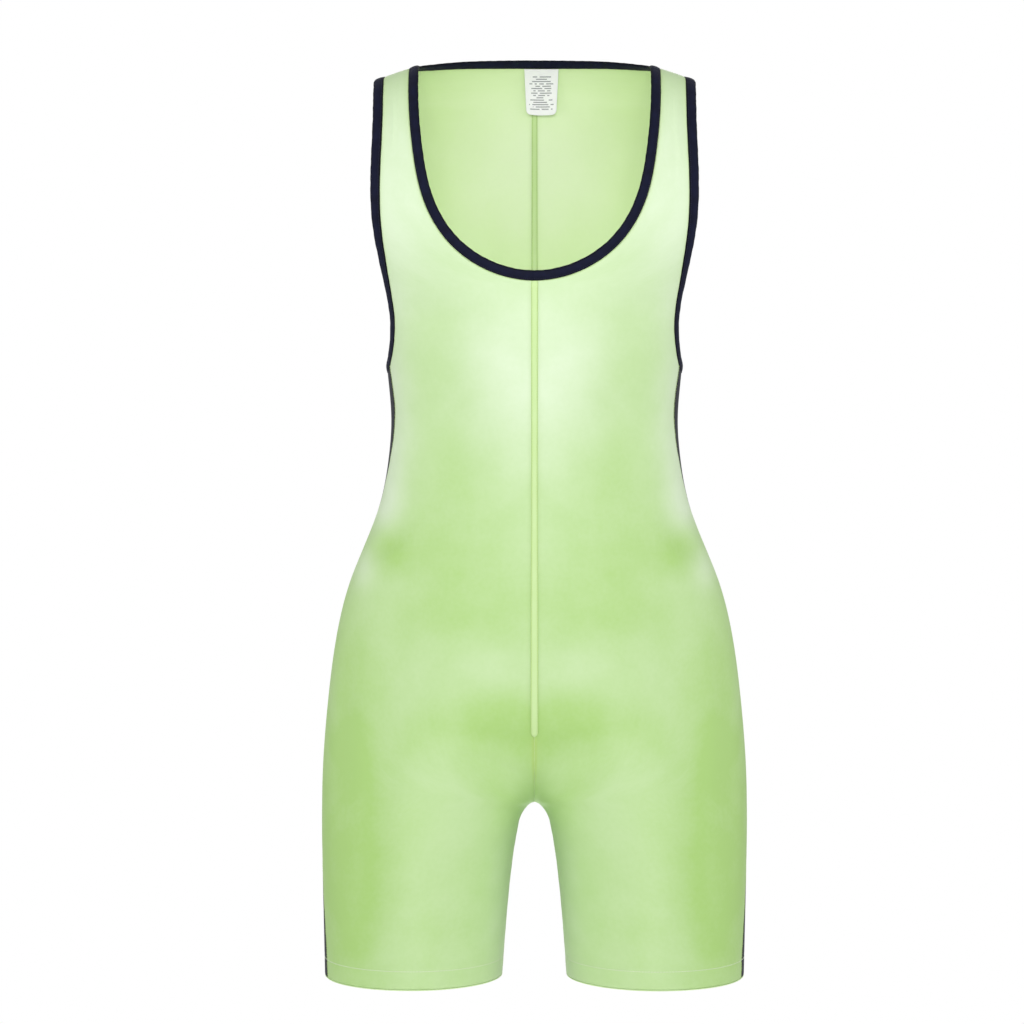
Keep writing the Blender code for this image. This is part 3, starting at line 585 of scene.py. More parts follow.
def clothLayers(grid, side, options):
    # Outer and inner face of a panel of the wearer's left (side 1) or right (side -1)
    turn = np.array((side, 1.0, 1.0))
    points, normals, drops = grid["points"] * turn, grid["normals"] * turn, grid["drops"]
    across = distanceAlong(points, 1)
    fromEdge = np.minimum(across, across[:, -1:] - across)
    upFromHem = suit["hemDrop"] - drops
    hemLine = np.exp(-(((upFromHem - options["stitchRise"]) / options["stitchReach"]) ** 2))
    ripple = (np.sin(drops * 410 + side) * np.sin(drops * 173 + 2.0 * side)
              * np.exp(-fromEdge / options["puckerReach"]) * options["pucker"])
    drawnIn = options["seamPull"] * np.exp(-((fromEdge / options["seamReach"]) ** 2))
    offset = creaseOffset(points) - drawnIn + ripple - options["stitchPull"] * hemLine
    rounding = np.clip(1 - fromEdge / options["roundOver"], 0, 1) ** 2
    if grid["rowOf"]:
        middle, reach, columns, kept = options["flatSeam"]
        rounding[:, :columns] *= np.where(np.abs(drops[:, :columns] - middle) < reach, kept, 1.0)
    rounding = np.maximum(rounding, np.clip(1 - upFromHem / options["roundOver"], 0, 1) ** 2)
    outer = offset + suit["cloth"] - options["roundDepth"] * rounding
    inner = offset + 0.25 * options["roundDepth"] * rounding
    faces = {name: points + normals * rise[..., None]
             for name, rise in (("base", offset), ("outer", outer), ("inner", inner))}
    return {**faces, "points": points, "normals": normals, "fromEdge": fromEdge, "across": across,
            "drops": drops, "rowOf": grid["rowOf"]}


def addObject(name, data):
    made = bpy.data.objects.new(name, data)
    bpy.context.scene.collection.objects.link(made)
    return made


def signedVolume(vertices, faces):
    a = vertices[faces[:, 0]]
    total = 0.0
    for i in range(1, faces.shape[1] - 1):
        total += np.einsum("ij,ij->i", a, np.cross(vertices[faces[:, i]], vertices[faces[:, i + 1]])).sum()
    return total


def makeMesh(name, vertices, faces, materials, slots, uv, marks, sharpAngle=50):
    if signedVolume(vertices, faces) < 0:
        faces = faces[:, ::-1]
    mesh = bpy.data.meshes.new(name)
    mesh.from_pydata(vertices.tolist(), [], faces.tolist())
    for material in materials:
        mesh.materials.append(material)
    if slots is not None:
        mesh.polygons.foreach_set("material_index", slots.astype(np.int32))
    layer = mesh.uv_layers.new(name="cloth")
    corner = np.empty(len(mesh.loops), dtype=np.int32)
    mesh.loops.foreach_get("vertex_index", corner)
    layer.data.foreach_set("uv", uv.astype(np.float32)[corner].ravel())
    # The painted shading mark (painted highlights and painted shade) stays at its neutral middle unless a piece
    # gives its own
    for label, values in {"paintedShading": np.full(len(vertices), 0.5), **marks}.items():
        attribute = mesh.attributes.new(label, "FLOAT", "POINT")
        attribute.data.foreach_set("value", values.astype(np.float32))
    mesh.shade_smooth()
    mesh.set_sharp_from_angle(angle=math.radians(sharpAngle))
    mesh.validate()
    return addObject(name, mesh)


def wallFaces(rows, columns):
    # A thin closed wall: outer face, inner face and the rims that join them
    number, under = np.arange(rows * columns).reshape(rows, columns), rows * columns

    def quads(*corners):
        return np.stack(corners, axis=-1).reshape(-1, 4)

    def rim(a, b):
        return quads(a, b, b + under, a + under)

    face = quads(number[:-1, :-1], number[:-1, 1:], number[1:, 1:], number[1:, :-1])
    faces = np.concatenate((face, face[:, ::-1] + under,
                            rim(number[0, 1:], number[0, :-1]), rim(number[-1, :-1], number[-1, 1:]),
                            rim(number[:-1, 0], number[1:, 0]), rim(number[1:, -1], number[:-1, -1])))
    slots = np.zeros(len(faces), int)
    slots[len(face) : 2 * len(face)] = 1
    return faces, slots


def tubeFaces(count, size):
    # A closed ring of closed sections
    number = np.arange(count * size).reshape(count, size)
    ahead, beside = np.roll(number, -1, axis=0), np.roll(number, -1, axis=1)
    return np.stack((number, beside, np.roll(ahead, -1, axis=1), ahead), axis=-1).reshape(-1, 4)


def tint(r, g, b):
    # A colour given in screen values, as Blender's own linear one
    parts = [v / 255 for v in (r, g, b)]
    return tuple(v / 12.92 if v <= 0.04045 else ((v + 0.055) / 1.055) ** 2.4 for v in parts) + (1.0,)


def addNode(tree, kind, inputs=None, **settings):
    # A node with its settings, and a value or a link for each input that is named
    node = tree.nodes.new(kind)
    node.location = (200 * (len(tree.nodes) % 8), -260 * (len(tree.nodes) // 8))
    for key, value in settings.items():
        setattr(node, key, value)
    for key, value in (inputs or {}).items():
        if isinstance(value, bpy.types.NodeSocket):
            tree.links.new(value, node.inputs[key])
        else:
            node.inputs[key].default_value = value
    return node


def calc(tree, operation, *values):
    return addNode(tree, "ShaderNodeMath", dict(enumerate(values)), operation=operation).outputs[0]


def weighted(tree, *parts):
    # The sum of some values, each times its own share
    terms = [calc(tree, "MULTIPLY", value, share) for value, share in parts]
    total = terms[0]
    for term in terms[1:]:
        total = calc(tree, "ADD", total, term)
    return total


def blend(tree, share, first, second):
    return addNode(tree, "ShaderNodeMix", {0: share, 6: first, 7: second}, data_type="RGBA").outputs[2]


def fitRange(tree, value, to, spread=(0.0, 1.0)):
    ends = {"From Min": spread[0], "From Max": spread[1], "To Min": to[0], "To Max": to[1]}
    return addNode(tree, "ShaderNodeMapRange", {"Value": value, **ends}).outputs[0]


def newFinish(name, inputs):
    # A new material with values for its Principled shader, its node tree and that shader
    material = bpy.data.materials.new(name)
    material.use_nodes = True
    shader = material.node_tree.nodes["Principled BSDF"]
    for label, value in inputs.items():
        shader.inputs[label].default_value = value
    return material, material.node_tree, shader


def newGroup(name, numbers, outputs):
    # A shader group that takes a place on the cloth and some numbers, and the parts of that place
    tree = bpy.data.node_groups.new(name, "ShaderNodeTree")
    tree.interface.new_socket(name="Place", in_out="INPUT", socket_type="NodeSocketVector")
    for label, value in numbers.items():
        socket = tree.interface.new_socket(name=label, in_out="INPUT", socket_type="NodeSocketFloat")
        socket.default_value = value
    for label in outputs:
        tree.interface.new_socket(name=label, in_out="OUTPUT", socket_type="NodeSocketFloat")
    given = addNode(tree, "NodeGroupInput").outputs
    parts = addNode(tree, "ShaderNodeSeparateXYZ", {0: given["Place"]}).outputs
    return tree, given, parts


def turnsOf(tree, length, period):
    return calc(tree, "MULTIPLY", calc(tree, "DIVIDE", length, period), math.tau)


def noiseOn(tree, given, scale, **values):
    return addNode(tree, "ShaderNodeTexNoise", {"Vector": given["Place"], "Scale": scale, **values}).outputs[0]


def makeKnitFace():
    # Wales and courses of a fine warp knit, the fibres on them, and soft mottling
    tree, given, parts = newGroup("knitFace", {"Wale": 0.0007, "Course": 0.0009, "Blotch Size": 0.05},
                                  ("Mottle", "Height"))
    wale = calc(tree, "SINE", turnsOf(tree, parts[0], given["Wale"]))
    courseTurn = turnsOf(tree, parts[1], given["Course"])
    loop = calc(tree, "SINE", calc(tree, "ADD", courseTurn, calc(tree, "MULTIPLY", wale, 1.3)))
    fibre = noiseOn(tree, given, 950.0)
    blotch = noiseOn(tree, given, calc(tree, "DIVIDE", 1.0, given["Blotch Size"]), Detail=3.0)
    grain = noiseOn(tree, given, 240.0)
    addNode(tree, "NodeGroupOutput", {"Mottle": weighted(tree, (blotch, 0.78), (grain, 0.22)),
                                      "Height": weighted(tree, (wale, 0.25), (loop, 0.18), (fibre, 0.9))})
    return tree


def makeRibFace():
    # Cross ribs and cords of a folded elastic, with the fine weave on them
    tree, given, parts = newGroup("ribFace", {"Rib": 0.0008, "Cord": 0.0011}, ("Shade", "Height"))
    rib = calc(tree, "SINE", turnsOf(tree, parts[0], given["Rib"]))
    cord = calc(tree, "SINE", turnsOf(tree, parts[1], given["Cord"]))
    weave, soft = noiseOn(tree, given, 1100.0), noiseOn(tree, given, 130.0)
    addNode(tree, "NodeGroupOutput", {"Shade": weighted(tree, (rib, 0.12), (soft, 1.0)),
                                      "Height": weighted(tree, (rib, 0.35), (cord, 0.2), (weave, 0.6))})
    return tree


knitFace, ribFace = makeKnitFace(), makeRibFace()


def clothMaterial(name, look):
    # Knit cloth: a deep and a pale tone, mixed by the painted shading mark (painted highlights and painted
    # shade) and by its mottling, a third, darker colour near seams, which on bindings, on tapes and along the
    # flat seam below the front tape is painted shade, and a fine knit bump
    material, tree, shader = newFinish(name, look["finish"])
    where = addNode(tree, "ShaderNodeUVMap", uv_map="cloth").outputs[0]
    face = addNode(tree, "ShaderNodeGroup", node_tree=look["group"])
    tree.links.new(where, face.inputs["Place"])
    for label, value in look["groupValues"].items():
        face.inputs[label].default_value = value
    paintedShading, seam = (addNode(tree, "ShaderNodeAttribute", attribute_name=mark).outputs["Fac"]
                  for mark in ("paintedShading", "seam"))
    mottled = fitRange(tree, face.outputs[0], look["mottling"], look["spread"])
    # Painted highlights and painted shade: the painted shading mark moves the colour toward the pale or the
    # deep tone
    knit = blend(tree, calc(tree, "ADD", mottled, paintedShading), look["deepTone"], look["paleTone"])
    # Darker seam colour; on bindings, tapes and the flat seam below the front tape this is painted shade
    dyed = blend(tree, calc(tree, "MULTIPLY", seam, look["seamShare"]), knit, look["seam"])
    tree.links.new(dyed, shader.inputs["Base Color"])
    tree.links.new(fitRange(tree, face.outputs[0], look["roughness"]), shader.inputs["Roughness"])
    strength, height = look["bump"]
    bump = addNode(tree, "ShaderNodeBump", {"Strength": strength, "Distance": height,
                                            "Height": face.outputs["Height"]})
    tree.links.new(bump.outputs[0], shader.inputs["Normal"])
    return material


# The deep and pale tone of each look are the ends of the painted shading on the lime panels; on other pieces
# the painted shading stays constant and only the mottling moves between them.
looks = {
    "limeSatinKnit": {
        "group": knitFace, "groupValues": {"Wale": 0.0007, "Course": 0.0009, "Blotch Size": 0.045},
        "deepTone": tint(172, 212, 122), "paleTone": tint(221, 240, 205), "seam": tint(178, 210, 112),
        "mottling": (-0.10, 0.10), "seamShare": 0.35, "roughness": (0.46, 0.56), "bump": (0.22, 0.00012),
        "finish": {"Specular IOR Level": 0.5}},
    "limeKnitBack": {
        "group": knitFace, "groupValues": {"Wale": 0.0007, "Course": 0.0011, "Blotch Size": 0.05},
        "deepTone": tint(206, 240, 154), "paleTone": tint(238, 255, 214), "seam": tint(196, 222, 142),
        "mottling": (-0.08, 0.08), "seamShare": 0.3, "roughness": (0.60, 0.70), "bump": (0.30, 0.00015),
        "finish": {"Specular IOR Level": 0.3}},
    "limeSeamTape": {
        "group": knitFace, "groupValues": {"Wale": 0.0008, "Course": 0.0008, "Blotch Size": 0.03},
        "deepTone": tint(193, 226, 144), "paleTone": tint(212, 236, 180), "seam": tint(160, 191, 104),
        "mottling": (-0.12, 0.12), "seamShare": 0.75, "roughness": (0.44, 0.54), "bump": (0.3, 0.00014),
        "finish": {"Specular IOR Level": 0.45}},
    "navyStretchKnit": {
        "group": knitFace, "groupValues": {"Wale": 0.0007, "Course": 0.0009, "Blotch Size": 0.04},
        "deepTone": tint(12, 14, 24), "paleTone": tint(20, 24, 40), "seam": tint(6, 7, 11),
        "mottling": (-0.5, 0.5), "seamShare": 0.5, "roughness": (0.50, 0.64), "bump": (0.3, 0.00014),
        "finish": {"Specular IOR Level": 0.22, "Sheen Weight": 0.04, "Sheen Roughness": 0.4,
                   "Sheen Tint": (0.6, 0.65, 0.8, 1.0)}},
    "navyFoldedElastic": {
        "group": ribFace, "groupValues": {"Rib": 0.0008, "Cord": 0.0011}, "spread": (0.25, 0.8),
        "deepTone": tint(13, 16, 36), "paleTone": tint(22, 26, 54), "seam": tint(3, 4, 8),
        "mottling": (-0.5, 0.5), "seamShare": 0.97, "roughness": (0.56, 0.70), "bump": (0.5, 0.00018),
        "finish": {"Specular IOR Level": 0.12, "Sheen Weight": 0.02, "Sheen Roughness": 0.45,
                   "Sheen Tint": (0.6, 0.66, 0.85, 1.0)}},
    "labelWeave": {
        "group": knitFace, "groupValues": {"Wale": 0.0005, "Course": 0.0005, "Blotch Size": 0.02},
        "deepTone": tint(250, 250, 253), "paleTone": tint(255, 255, 255), "seam": tint(222, 224, 229),
        "spread": (0.3, 0.7), "mottling": (-0.5, 0.5), "seamShare": 0.35, "roughness": (0.42, 0.55),
        "bump": (0.25, 0.0001), "finish": {"Specular IOR Level": 0.45}},
}
cloths = {name: clothMaterial(name, {"spread": (0.32, 0.68), **look}) for name, look in looks.items()}


def threadMaterial(name, colour, specular):
    material, tree, shader = newFinish(name, {"Specular IOR Level": specular})
    where = addNode(tree, "ShaderNodeTexCoord").outputs["Object"]
    twist = addNode(tree, "ShaderNodeTexNoise", {"Vector": where, "Scale": 1800.0}).outputs[0]
    shadow = tuple(v * 0.72 for v in colour[:3]) + (1.0,)
    tree.links.new(blend(tree, twist, shadow, colour), shader.inputs["Base Color"])
    tree.links.new(fitRange(tree, twist, (0.4, 0.6)), shader.inputs["Roughness"])
    bump = addNode(tree, "ShaderNodeBump", {"Strength": 0.3, "Distance": 0.0001, "Height": twist})
    tree.links.new(bump.outputs[0], shader.inputs["Normal"])
    return material


threads = {
    "lime": threadMaterial("limeThread", tint(196, 226, 134), 0.5),
    "navy": threadMaterial("navyThread", tint(40, 44, 74), 0.4),
    "paleLime": threadMaterial("paleLimeThread", tint(232, 246, 214), 0.5),
}
print("stage: cloth and thread finishes made")


# Painted highlights and painted shade: patches where the cloth is painted paler as if lit, or deeper as if in
# shade, as seen from the front or
# the back: x and z of the middle, reach each way, and share added
paintedShadingPatches = {
    "front": (
        (0.000, -0.270, 0.055, 0.075, 0.56), (0.125, -0.110, 0.060, 0.090, 0.56),
        (0.000, -0.400, 0.040, 0.060, -0.04), (0.075, -0.400, 0.045, 0.060, -0.18),
        (0.095, -0.250, 0.026, 0.050, -0.18), (0.126, -0.420, 0.016, 0.018, -0.50),
        (0.050, -0.480, 0.110, 0.036, -0.18), (0.000, -0.574, 0.078, 0.028, -0.48),
        (0.000, -0.528, 0.060, 0.022, 0.16), (0.162, -0.670, 0.028, 0.130, -0.60),
        (0.130, -0.320, 0.018, 0.090, 0.62), (0.150, -0.443, 0.010, 0.014, 0.40),
        (0.080, -0.740, 0.050, 0.080, -0.10), (0.030, -0.760, 0.012, 0.070, 0.22),
        (0.126, -0.420, 0.030, 0.030, -0.10), (0.000, -0.350, 0.120, 0.040, -0.06),
        (0.134, -0.388, 0.014, 0.018, 0.40), (0.010, -0.636, 0.036, 0.026, -0.24),
    ),
    "back": (
        (0.010, -0.085, 0.060, 0.066, 0.54), (0.092, -0.075, 0.020, 0.050, -0.14),
        (0.085, -0.520, 0.060, 0.060, 0.22), (0.000, -0.350, 0.060, 0.050, -0.14),
        (0.000, -0.590, 0.050, 0.040, -0.24), (0.165, -0.660, 0.024, 0.120, -0.26),
        (0.140, -0.420, 0.028, 0.034, -0.30), (0.090, -0.700, 0.060, 0.060, 0.06),
    ),
}


# Painted highlights and painted shade at each point: the base share plus the patches of its face
def paintedShadingOn(points, key):
    total = np.full(points.shape[:-1], panelShape["paintedShadingBase"])
    for x, z, reachX, reachZ, share in paintedShadingPatches.get(key, ()):
        away = ((np.abs(points[..., 0]) - x) / reachX) ** 2 + ((points[..., 2] - z) / reachZ) ** 2
        total += share * np.exp(-away / 1.4)
    return np.clip(total, 0.0, 1.0)


def spreadOut(across, along):
    # Flat coordinates of a grid of points
    return np.stack(np.broadcast_arrays(across, along), axis=-1).reshape(-1, 2)


def wallPiece(name, outer, inner, materials, uv, marks):
    # A closed wall between two grids of points, with the same coordinates and marks on both
    size = outer.shape[:2]
    faces, slots = wallFaces(*size)
    marks = {label: np.tile(np.broadcast_to(values, size).ravel(), 2) for label, values in marks.items()}
    vertices = np.concatenate((outer.reshape(-1, 3), inner.reshape(-1, 3)))
    return makeMesh(name, vertices, faces, materials, np.minimum(slots, len(materials) - 1),
                    np.tile(uv, (2, 1)), marks)


def makePanel(name, key, side, materials):
    shape = panelShape
    layers = clothLayers(grids[key], side, shape)
    drops, seam = layers["drops"], np.exp(-layers["fromEdge"] / shape["seamFade"])
    if key != "side":
        gap, rowOf = shape["centreGap"], layers["rowOf"]
        body = drops <= suit["crotchDrop"] + shape["gapBelowCrotch"]
        for layer in (layers["outer"], layers["inner"]):
            flat = layer[..., 0] * side
            layer[..., 0] = np.where(body, np.maximum(flat, gap), flat) * side
            layer[rowOf["crotch"] + 1 : rowOf["neck"], 0, 0] = gap * side
    if key == "front":
        # Painted shade in the crease along the flat seam below the tape, carried in the seam mark
        start, startFade, end, endFade, half = shape["seamCreaseShade"]
        belowTape = ease((drops - start) / startFade) * ease((end - drops) / endFade)
        seam = np.maximum(seam, 2.0 * belowTape * np.exp(-((layers["across"] / half) ** 4)))
    # The seam mark, and the painted shading mark for painted highlights and painted shade
    piece = wallPiece(name, layers["outer"], layers["inner"], materials, spreadOut(layers["across"], drops),
                      {"seam": seam, "paintedShading": paintedShadingOn(layers["points"], key)})
    return piece, layers


hands = {"left": 1, "right": -1}
pieces, layersOf = {}, {}
for key, stem, *faces in (
    ("front", "front", "limeSatinKnit", "limeKnitBack"),
    ("back", "back", "limeSatinKnit", "limeKnitBack"),
    ("side", "side_panel", "navyStretchKnit", "navyStretchKnit"),
):
    for hand, side in hands.items():
        name = stem + "_" + hand
        pieces[name], layersOf[key, side] = makePanel(name + "_cloth", key, side, [cloths[n] for n in faces])
print("stage: six panels cut and shaped")

# Folded elastic: its section from the seam out over the top and back underneath, in millimetres
bandShape = {
    "section": (
        (0.30, 0.55), (0.42, 1.25), (0.95, 1.62), (1.70, 1.52), (2.30, 1.86), (3.60, 2.02), (5.20, 2.04),
        (6.60, 1.92), (7.50, 1.74), (8.25, 1.34), (8.66, 0.92), (8.80, 0.45), (8.62, -0.10), (8.10, -0.52),
        (7.00, -0.76), (4.80, -0.82), (2.60, -0.78), (1.70, -0.56), (0.80, -0.60), (0.36, -0.20)),
    "width": 0.0088,
    "step": 0.0026,
    # where the painted shade along the elastic's seam-side rim sits, and how fast it and the outer rim's
    # painted shade fade
    "seamAt": 0.0003,
    "seamFade": 0.0014,
    "rimShadeFade": 0.0011,
    "ripple": 0.00010,
    "widthRipple": 0.00016,
    "neckWidth": 1.05,
    "armholeWidth": 1.10,
    "stitchAcross": 0.00172,
    "stitchOver": 0.00152,
    "stitchUnder": 0.00056,
}


def smoothLoop(values, times):
    for _ in range(times):
        values = (np.roll(values, 1, axis=0) + 2 * values + np.roll(values, -1, axis=0)) / 4
    return values


def edgeOf(layers, start, column):
    return layers["base"][start:, column].copy(), layers["normals"][start:, column]


def bandFrame(edge, normals, middle):
    normals = unit(smoothLoop(normals, 3))
    along = unit(smoothLoop(np.roll(edge, -1, axis=0) - np.roll(edge, 1, axis=0), 2))
    across = unit(np.cross(normals, along))
    across = np.where((across * (np.array(middle) - edge)).sum(1, keepdims=True) < 0, -across, across)
    return smoothLoop(edge, 1), unit(np.cross(across, along)) * np.sign(
        (np.cross(across, along) * normals).sum(1, keepdims=True)), across


def resampleLoop(points, normals, pitch):
    points, normals = (np.concatenate((field, field[:1])) for field in (points, normals))
    travelled = travelledAlong(points)
    count = int(round(travelled[-1] / pitch))
    at = np.linspace(0, travelled[-1], count + 1)[:-1]
    return pointsAt(at, travelled, points), unit(pointsAt(at, travelled, normals)), at


def makeBand(name, edge, normals, middle, wider):
    # Folded elastic round an opening, and the lines of its stitches outside and inside
    shape = bandShape
    edge, normals, at = resampleLoop(edge, normals, shape["step"])
    edge, normals, across = bandFrame(edge, normals, middle)
    section = np.array(shape["section"]) / 1000
    wave = np.sin(at * 520) * np.sin(at * 213 + 1.0)
    widths = wider + shape["widthRipple"] / shape["width"] * wave
    lift = shape["ripple"] * np.sin(at * 467 + 0.6) * np.sin(at * 171)
    rows = (edge[:, None, :] + across[:, None, :] * (section[None, :, :1] * widths[:, None, None])
            + normals[:, None, :] * (section[None, :, 1:] + lift[:, None, None]))
    size, reach = rows.shape[:2], section[:, 0]
    # Painted shade along both rims of the elastic, where its rounded edges turn away from the light
    rim = np.exp(-((reach - shape["seamAt"]) / shape["seamFade"]))
    rim = rim + 0.95 * np.exp(-((shape["width"] - reach) / shape["rimShadeFade"]))
    seam = np.broadcast_to(np.clip(rim, 0, 1), size).ravel()
    piece = makeMesh(name, rows.reshape(-1, 3), tubeFaces(*size), [cloths["navyFoldedElastic"]], None,
                     spreadOut(at[:, None], reach[None, :]), {"seam": seam}, sharpAngle=80)
    line = edge + across * shape["stitchAcross"]
    outerLine = line + normals * (shape["stitchOver"] + lift[:, None])
    innerLine = line - normals * (shape["stitchUnder"] - lift[:, None])
    return piece, (outerLine, normals), (innerLine, -normals)


def neckLoop():
    loop, loopNormals = [], []
    for side in hands.values():
        (frontEdge, frontN), (backEdge, backN) = (
            edgeOf(layersOf[key, side], layersOf[key, side]["rowOf"]["neck"], 0) for key in ("front", "back"))
        frontEdge[0, 0] = backEdge[0, 0] = frontEdge[-1, 1] = 0.0
        half = np.concatenate((frontEdge, backEdge[-2::-1]))
        halfN = np.concatenate((frontN, backN[-2::-1]))
        kept = slice(None) if side == 1 else slice(-2, 0, -1)
        loop.append(half[kept])
        loopNormals.append(halfN[kept])
    return np.concatenate(loop), np.concatenate(loopNormals)


def panelsOn(side):
    # Front, back and side panel of one hand's half
    return (layersOf[key, side] for key in ("front", "back", "side"))


def armholeLoop(side):
    front, back, middle = panelsOn(side)
    start = front["rowOf"]["armhole"]
    (frontEdge, frontN), (backEdge, backN) = edgeOf(front, start, -1), edgeOf(back, start, -1)
    frontEdge[-1, 1] = 0.0
    edge = np.concatenate((frontEdge[:0:-1], middle["base"][-1, 1:-1], backEdge[1:-1]))
    return edge, np.concatenate((frontN[:0:-1], middle["normals"][-1, 1:-1], backN[1:-1]))


bands = [("neck_binding", neckLoop(), (0.0, 0.0, -0.030), bandShape["neckWidth"])]
bands += [("armhole_binding_" + hand, armholeLoop(side), (0.180 * side, 0.0, -0.140), bandShape["armholeWidth"])
          for hand, side in hands.items()]
bandLines = []
for name, loop, middle, wider in bands:
    pieces[name], *lines = makeBand(name + "_elastic", *loop, middle, wider)
    bandLines += lines
print("stage: neck and armholes bound")

tapeShape = {
    "lowerWidening": 0.24,
    "wideUpTo": 0.240,
    "halfWidth": 0.0029,
    "thickness": 0.0008,
    "crown": (-1.0, -0.96, -0.86, -0.66, -0.40, 0.0, 0.40, 0.66, 0.86, 0.96, 1.0),
    "edgeLow": 0.00045,
    "roundEnd": (0.0, 0.06, 0.16, 0.32, 0.55, 0.8, 1.0),
    "step": 0.0030,
    "grooveAt": 0.00215,
    "grooveReach": 0.0003,
    "grooveDepth": 0.00012,
    # reach of the painted shade along the tape's edges
    "edgeShadeFade": 0.00045,
    "stitchSink": 0.00004,
}


def makeTape(name, face, material):
    # A narrow tape over the centre seam, rounded at its lower end, and the lines of its stitches
    shape, left, right = tapeShape, layersOf[face, 1], layersOf[face, -1]
    rows = slice(left["rowOf"]["tapeEnd"], left["rowOf"]["neck"] + 1)
    seam = (left["base"][rows, 0] + right["base"][rows, 0]) / 2 * (0, 1, 1)
    beside = unit(left["base"][rows, 4] - left["base"][rows, 0])
    normal = unit(left["normals"][rows, 0] * (0, 1, 1))
    travelled, half = travelledAlong(seam), shape["halfWidth"]
    rest = np.linspace(half, travelled[-1], int((travelled[-1] - half) / shape["step"]))[1:]
    at = np.concatenate((np.array(shape["roundEnd"]) * half, rest))
    seam, beside, normal = (pointsAt(at, travelled, field) for field in (seam, beside, normal))
    beside, normal = unit(beside), unit(normal)
    crown = np.array(shape["crown"])
    narrow = np.sqrt(np.clip(1 - (1 - np.minimum(at / half, 1)) ** 2, 0.0004, 1))
    spread = beside[:, None, :] * (np.abs(crown)[None, :] * narrow[:, None] * half)[..., None]
    spread[..., 0] *= np.where(crown < 0, -1, 1)  # both sides curve back with the body
    wider = 1 + shape["lowerWidening"] * (1 - ease(at / shape["wideUpTo"]))
    points = seam[:, None, :] + spread * wider[:, None, None]
    arch = (1 - np.abs(crown) ** 6)[None, :] * np.minimum(0.35 + at / half, 1)[:, None]
    low, turn = (suit["cloth"] + suit["seamGap"], 1) if face == "front" else (-suit["seamGap"], -1)
    high = low + turn * (shape["edgeLow"] + (shape["thickness"] - shape["edgeLow"]) * arch)
    groove = np.exp(-((np.abs(crown) * half - shape["grooveAt"]) / shape["grooveReach"]) ** 2)
    high = high - turn * shape["grooveDepth"] * groove[None, :]
    # Its seam mark is painted shade along both edges of the raised tape
    piece = wallPiece(name, points + normal[:, None, :] * high[..., None], points + normal[:, None, :] * low,
                      [material], spreadOut(crown[None, :] * half, at[:, None]),
                      {"seam": np.exp(-((1 - np.abs(crown)) * half / shape["edgeShadeFade"]))})
    lines = []
    for side in hands.values():
        line = seam + beside * (side, 1, 1) * shape["grooveAt"] * wider[:, None]
        line = line + normal * (low + turn * (shape["thickness"] - shape["stitchSink"]))
        lines.append((line[5:-2], normal[5:-2] * turn))
    return piece, lines


tapeLines = {}
for face in ("front", "back"):
    name = face + "_seam_tape"
    pieces[name], tapeLines[face] = makeTape(name + "_sewn", face, cloths["limeSeamTape"])
print("stage: centre seams taped")

# Turned hem in millimetres: offset of its inside, thickness, and the fold as offset and drop below
# the edge
hemShape = {
    "inside": -0.32,
    "thickness": 0.78,
    "foldUnder": ((-0.32, 0.32), (0.45, 0.34), (1.02, 0.30), (1.14, 0.62), (0.98, 0.98), (0.40, 1.16),
                  (-0.45, 1.10), (-0.98, 0.66)),
}


def makeHem(name, side, material):
    front, back, middle = panelsOn(side)
    levels = len(rowPlan["hemLevels"])

    def ring(field, row):
        return np.concatenate((front[field][row, :-1], middle[field][row, 1:-1], back[field][row, -2:0:-1]))

    base = np.array([ring("base", row) for row in range(levels)])
    normals = unit(np.array([smoothLoop(ring("normals", row), 2) for row in range(levels)]))
    down = unit(base[0] - base[3])
    section = [(row, hemShape["inside"], 0.0) for row in reversed(range(levels))]
    section += [(0, *fold) for fold in hemShape["foldUnder"]]
    section += [(row, hemShape["inside"] - hemShape["thickness"], 0.0) for row in range(levels)]
    rows = np.array([base[row] + normals[row] * offset / 1000 + down * drop / 1000
                     for row, offset, drop in section])
    size = rows.shape[:2]
    ups = np.array([rowPlan["hemLevels"][row] for row, _, _ in section])
    seam = 0.6 * np.exp(-np.abs(ups - panelShape["stitchRise"]) / 0.0012)  # darker along its stitches
    return makeMesh(name, rows.reshape(-1, 3), tubeFaces(*size), [material], None,
                    spreadOut(travelledAlong(base[0])[None, :], ups[:, None]),
                    {"seam": np.broadcast_to(seam[:, None], size).ravel()}, sharpAngle=70)


for hand, side in hands.items():
    pieces["hem_" + hand] = makeHem("hem_" + hand + "_turned", side, cloths["limeKnitBack"])
print("stage: hems turned")

labelShape = {
    "width": 0.0312, "length": 0.0388, "top": 0.0042, "thickness": 0.00045, "shift": 0.0062, "taper": 0.115,
    "cornerRadius": 0.0042, "topGap": 0.0022, "bottomGap": 0.0048, "edgeCurl": 0.0007, "rows": 30,
    "columns": 22,
    # plain grey bars, and how far down the label they start and end
    "barSpacing": 0.00195, "barThickness": 0.00082, "barReach": 0.0118, "barStep": 0.0021,
    "barsFrom": 0.0058, "barsTo": 0.0345,
}


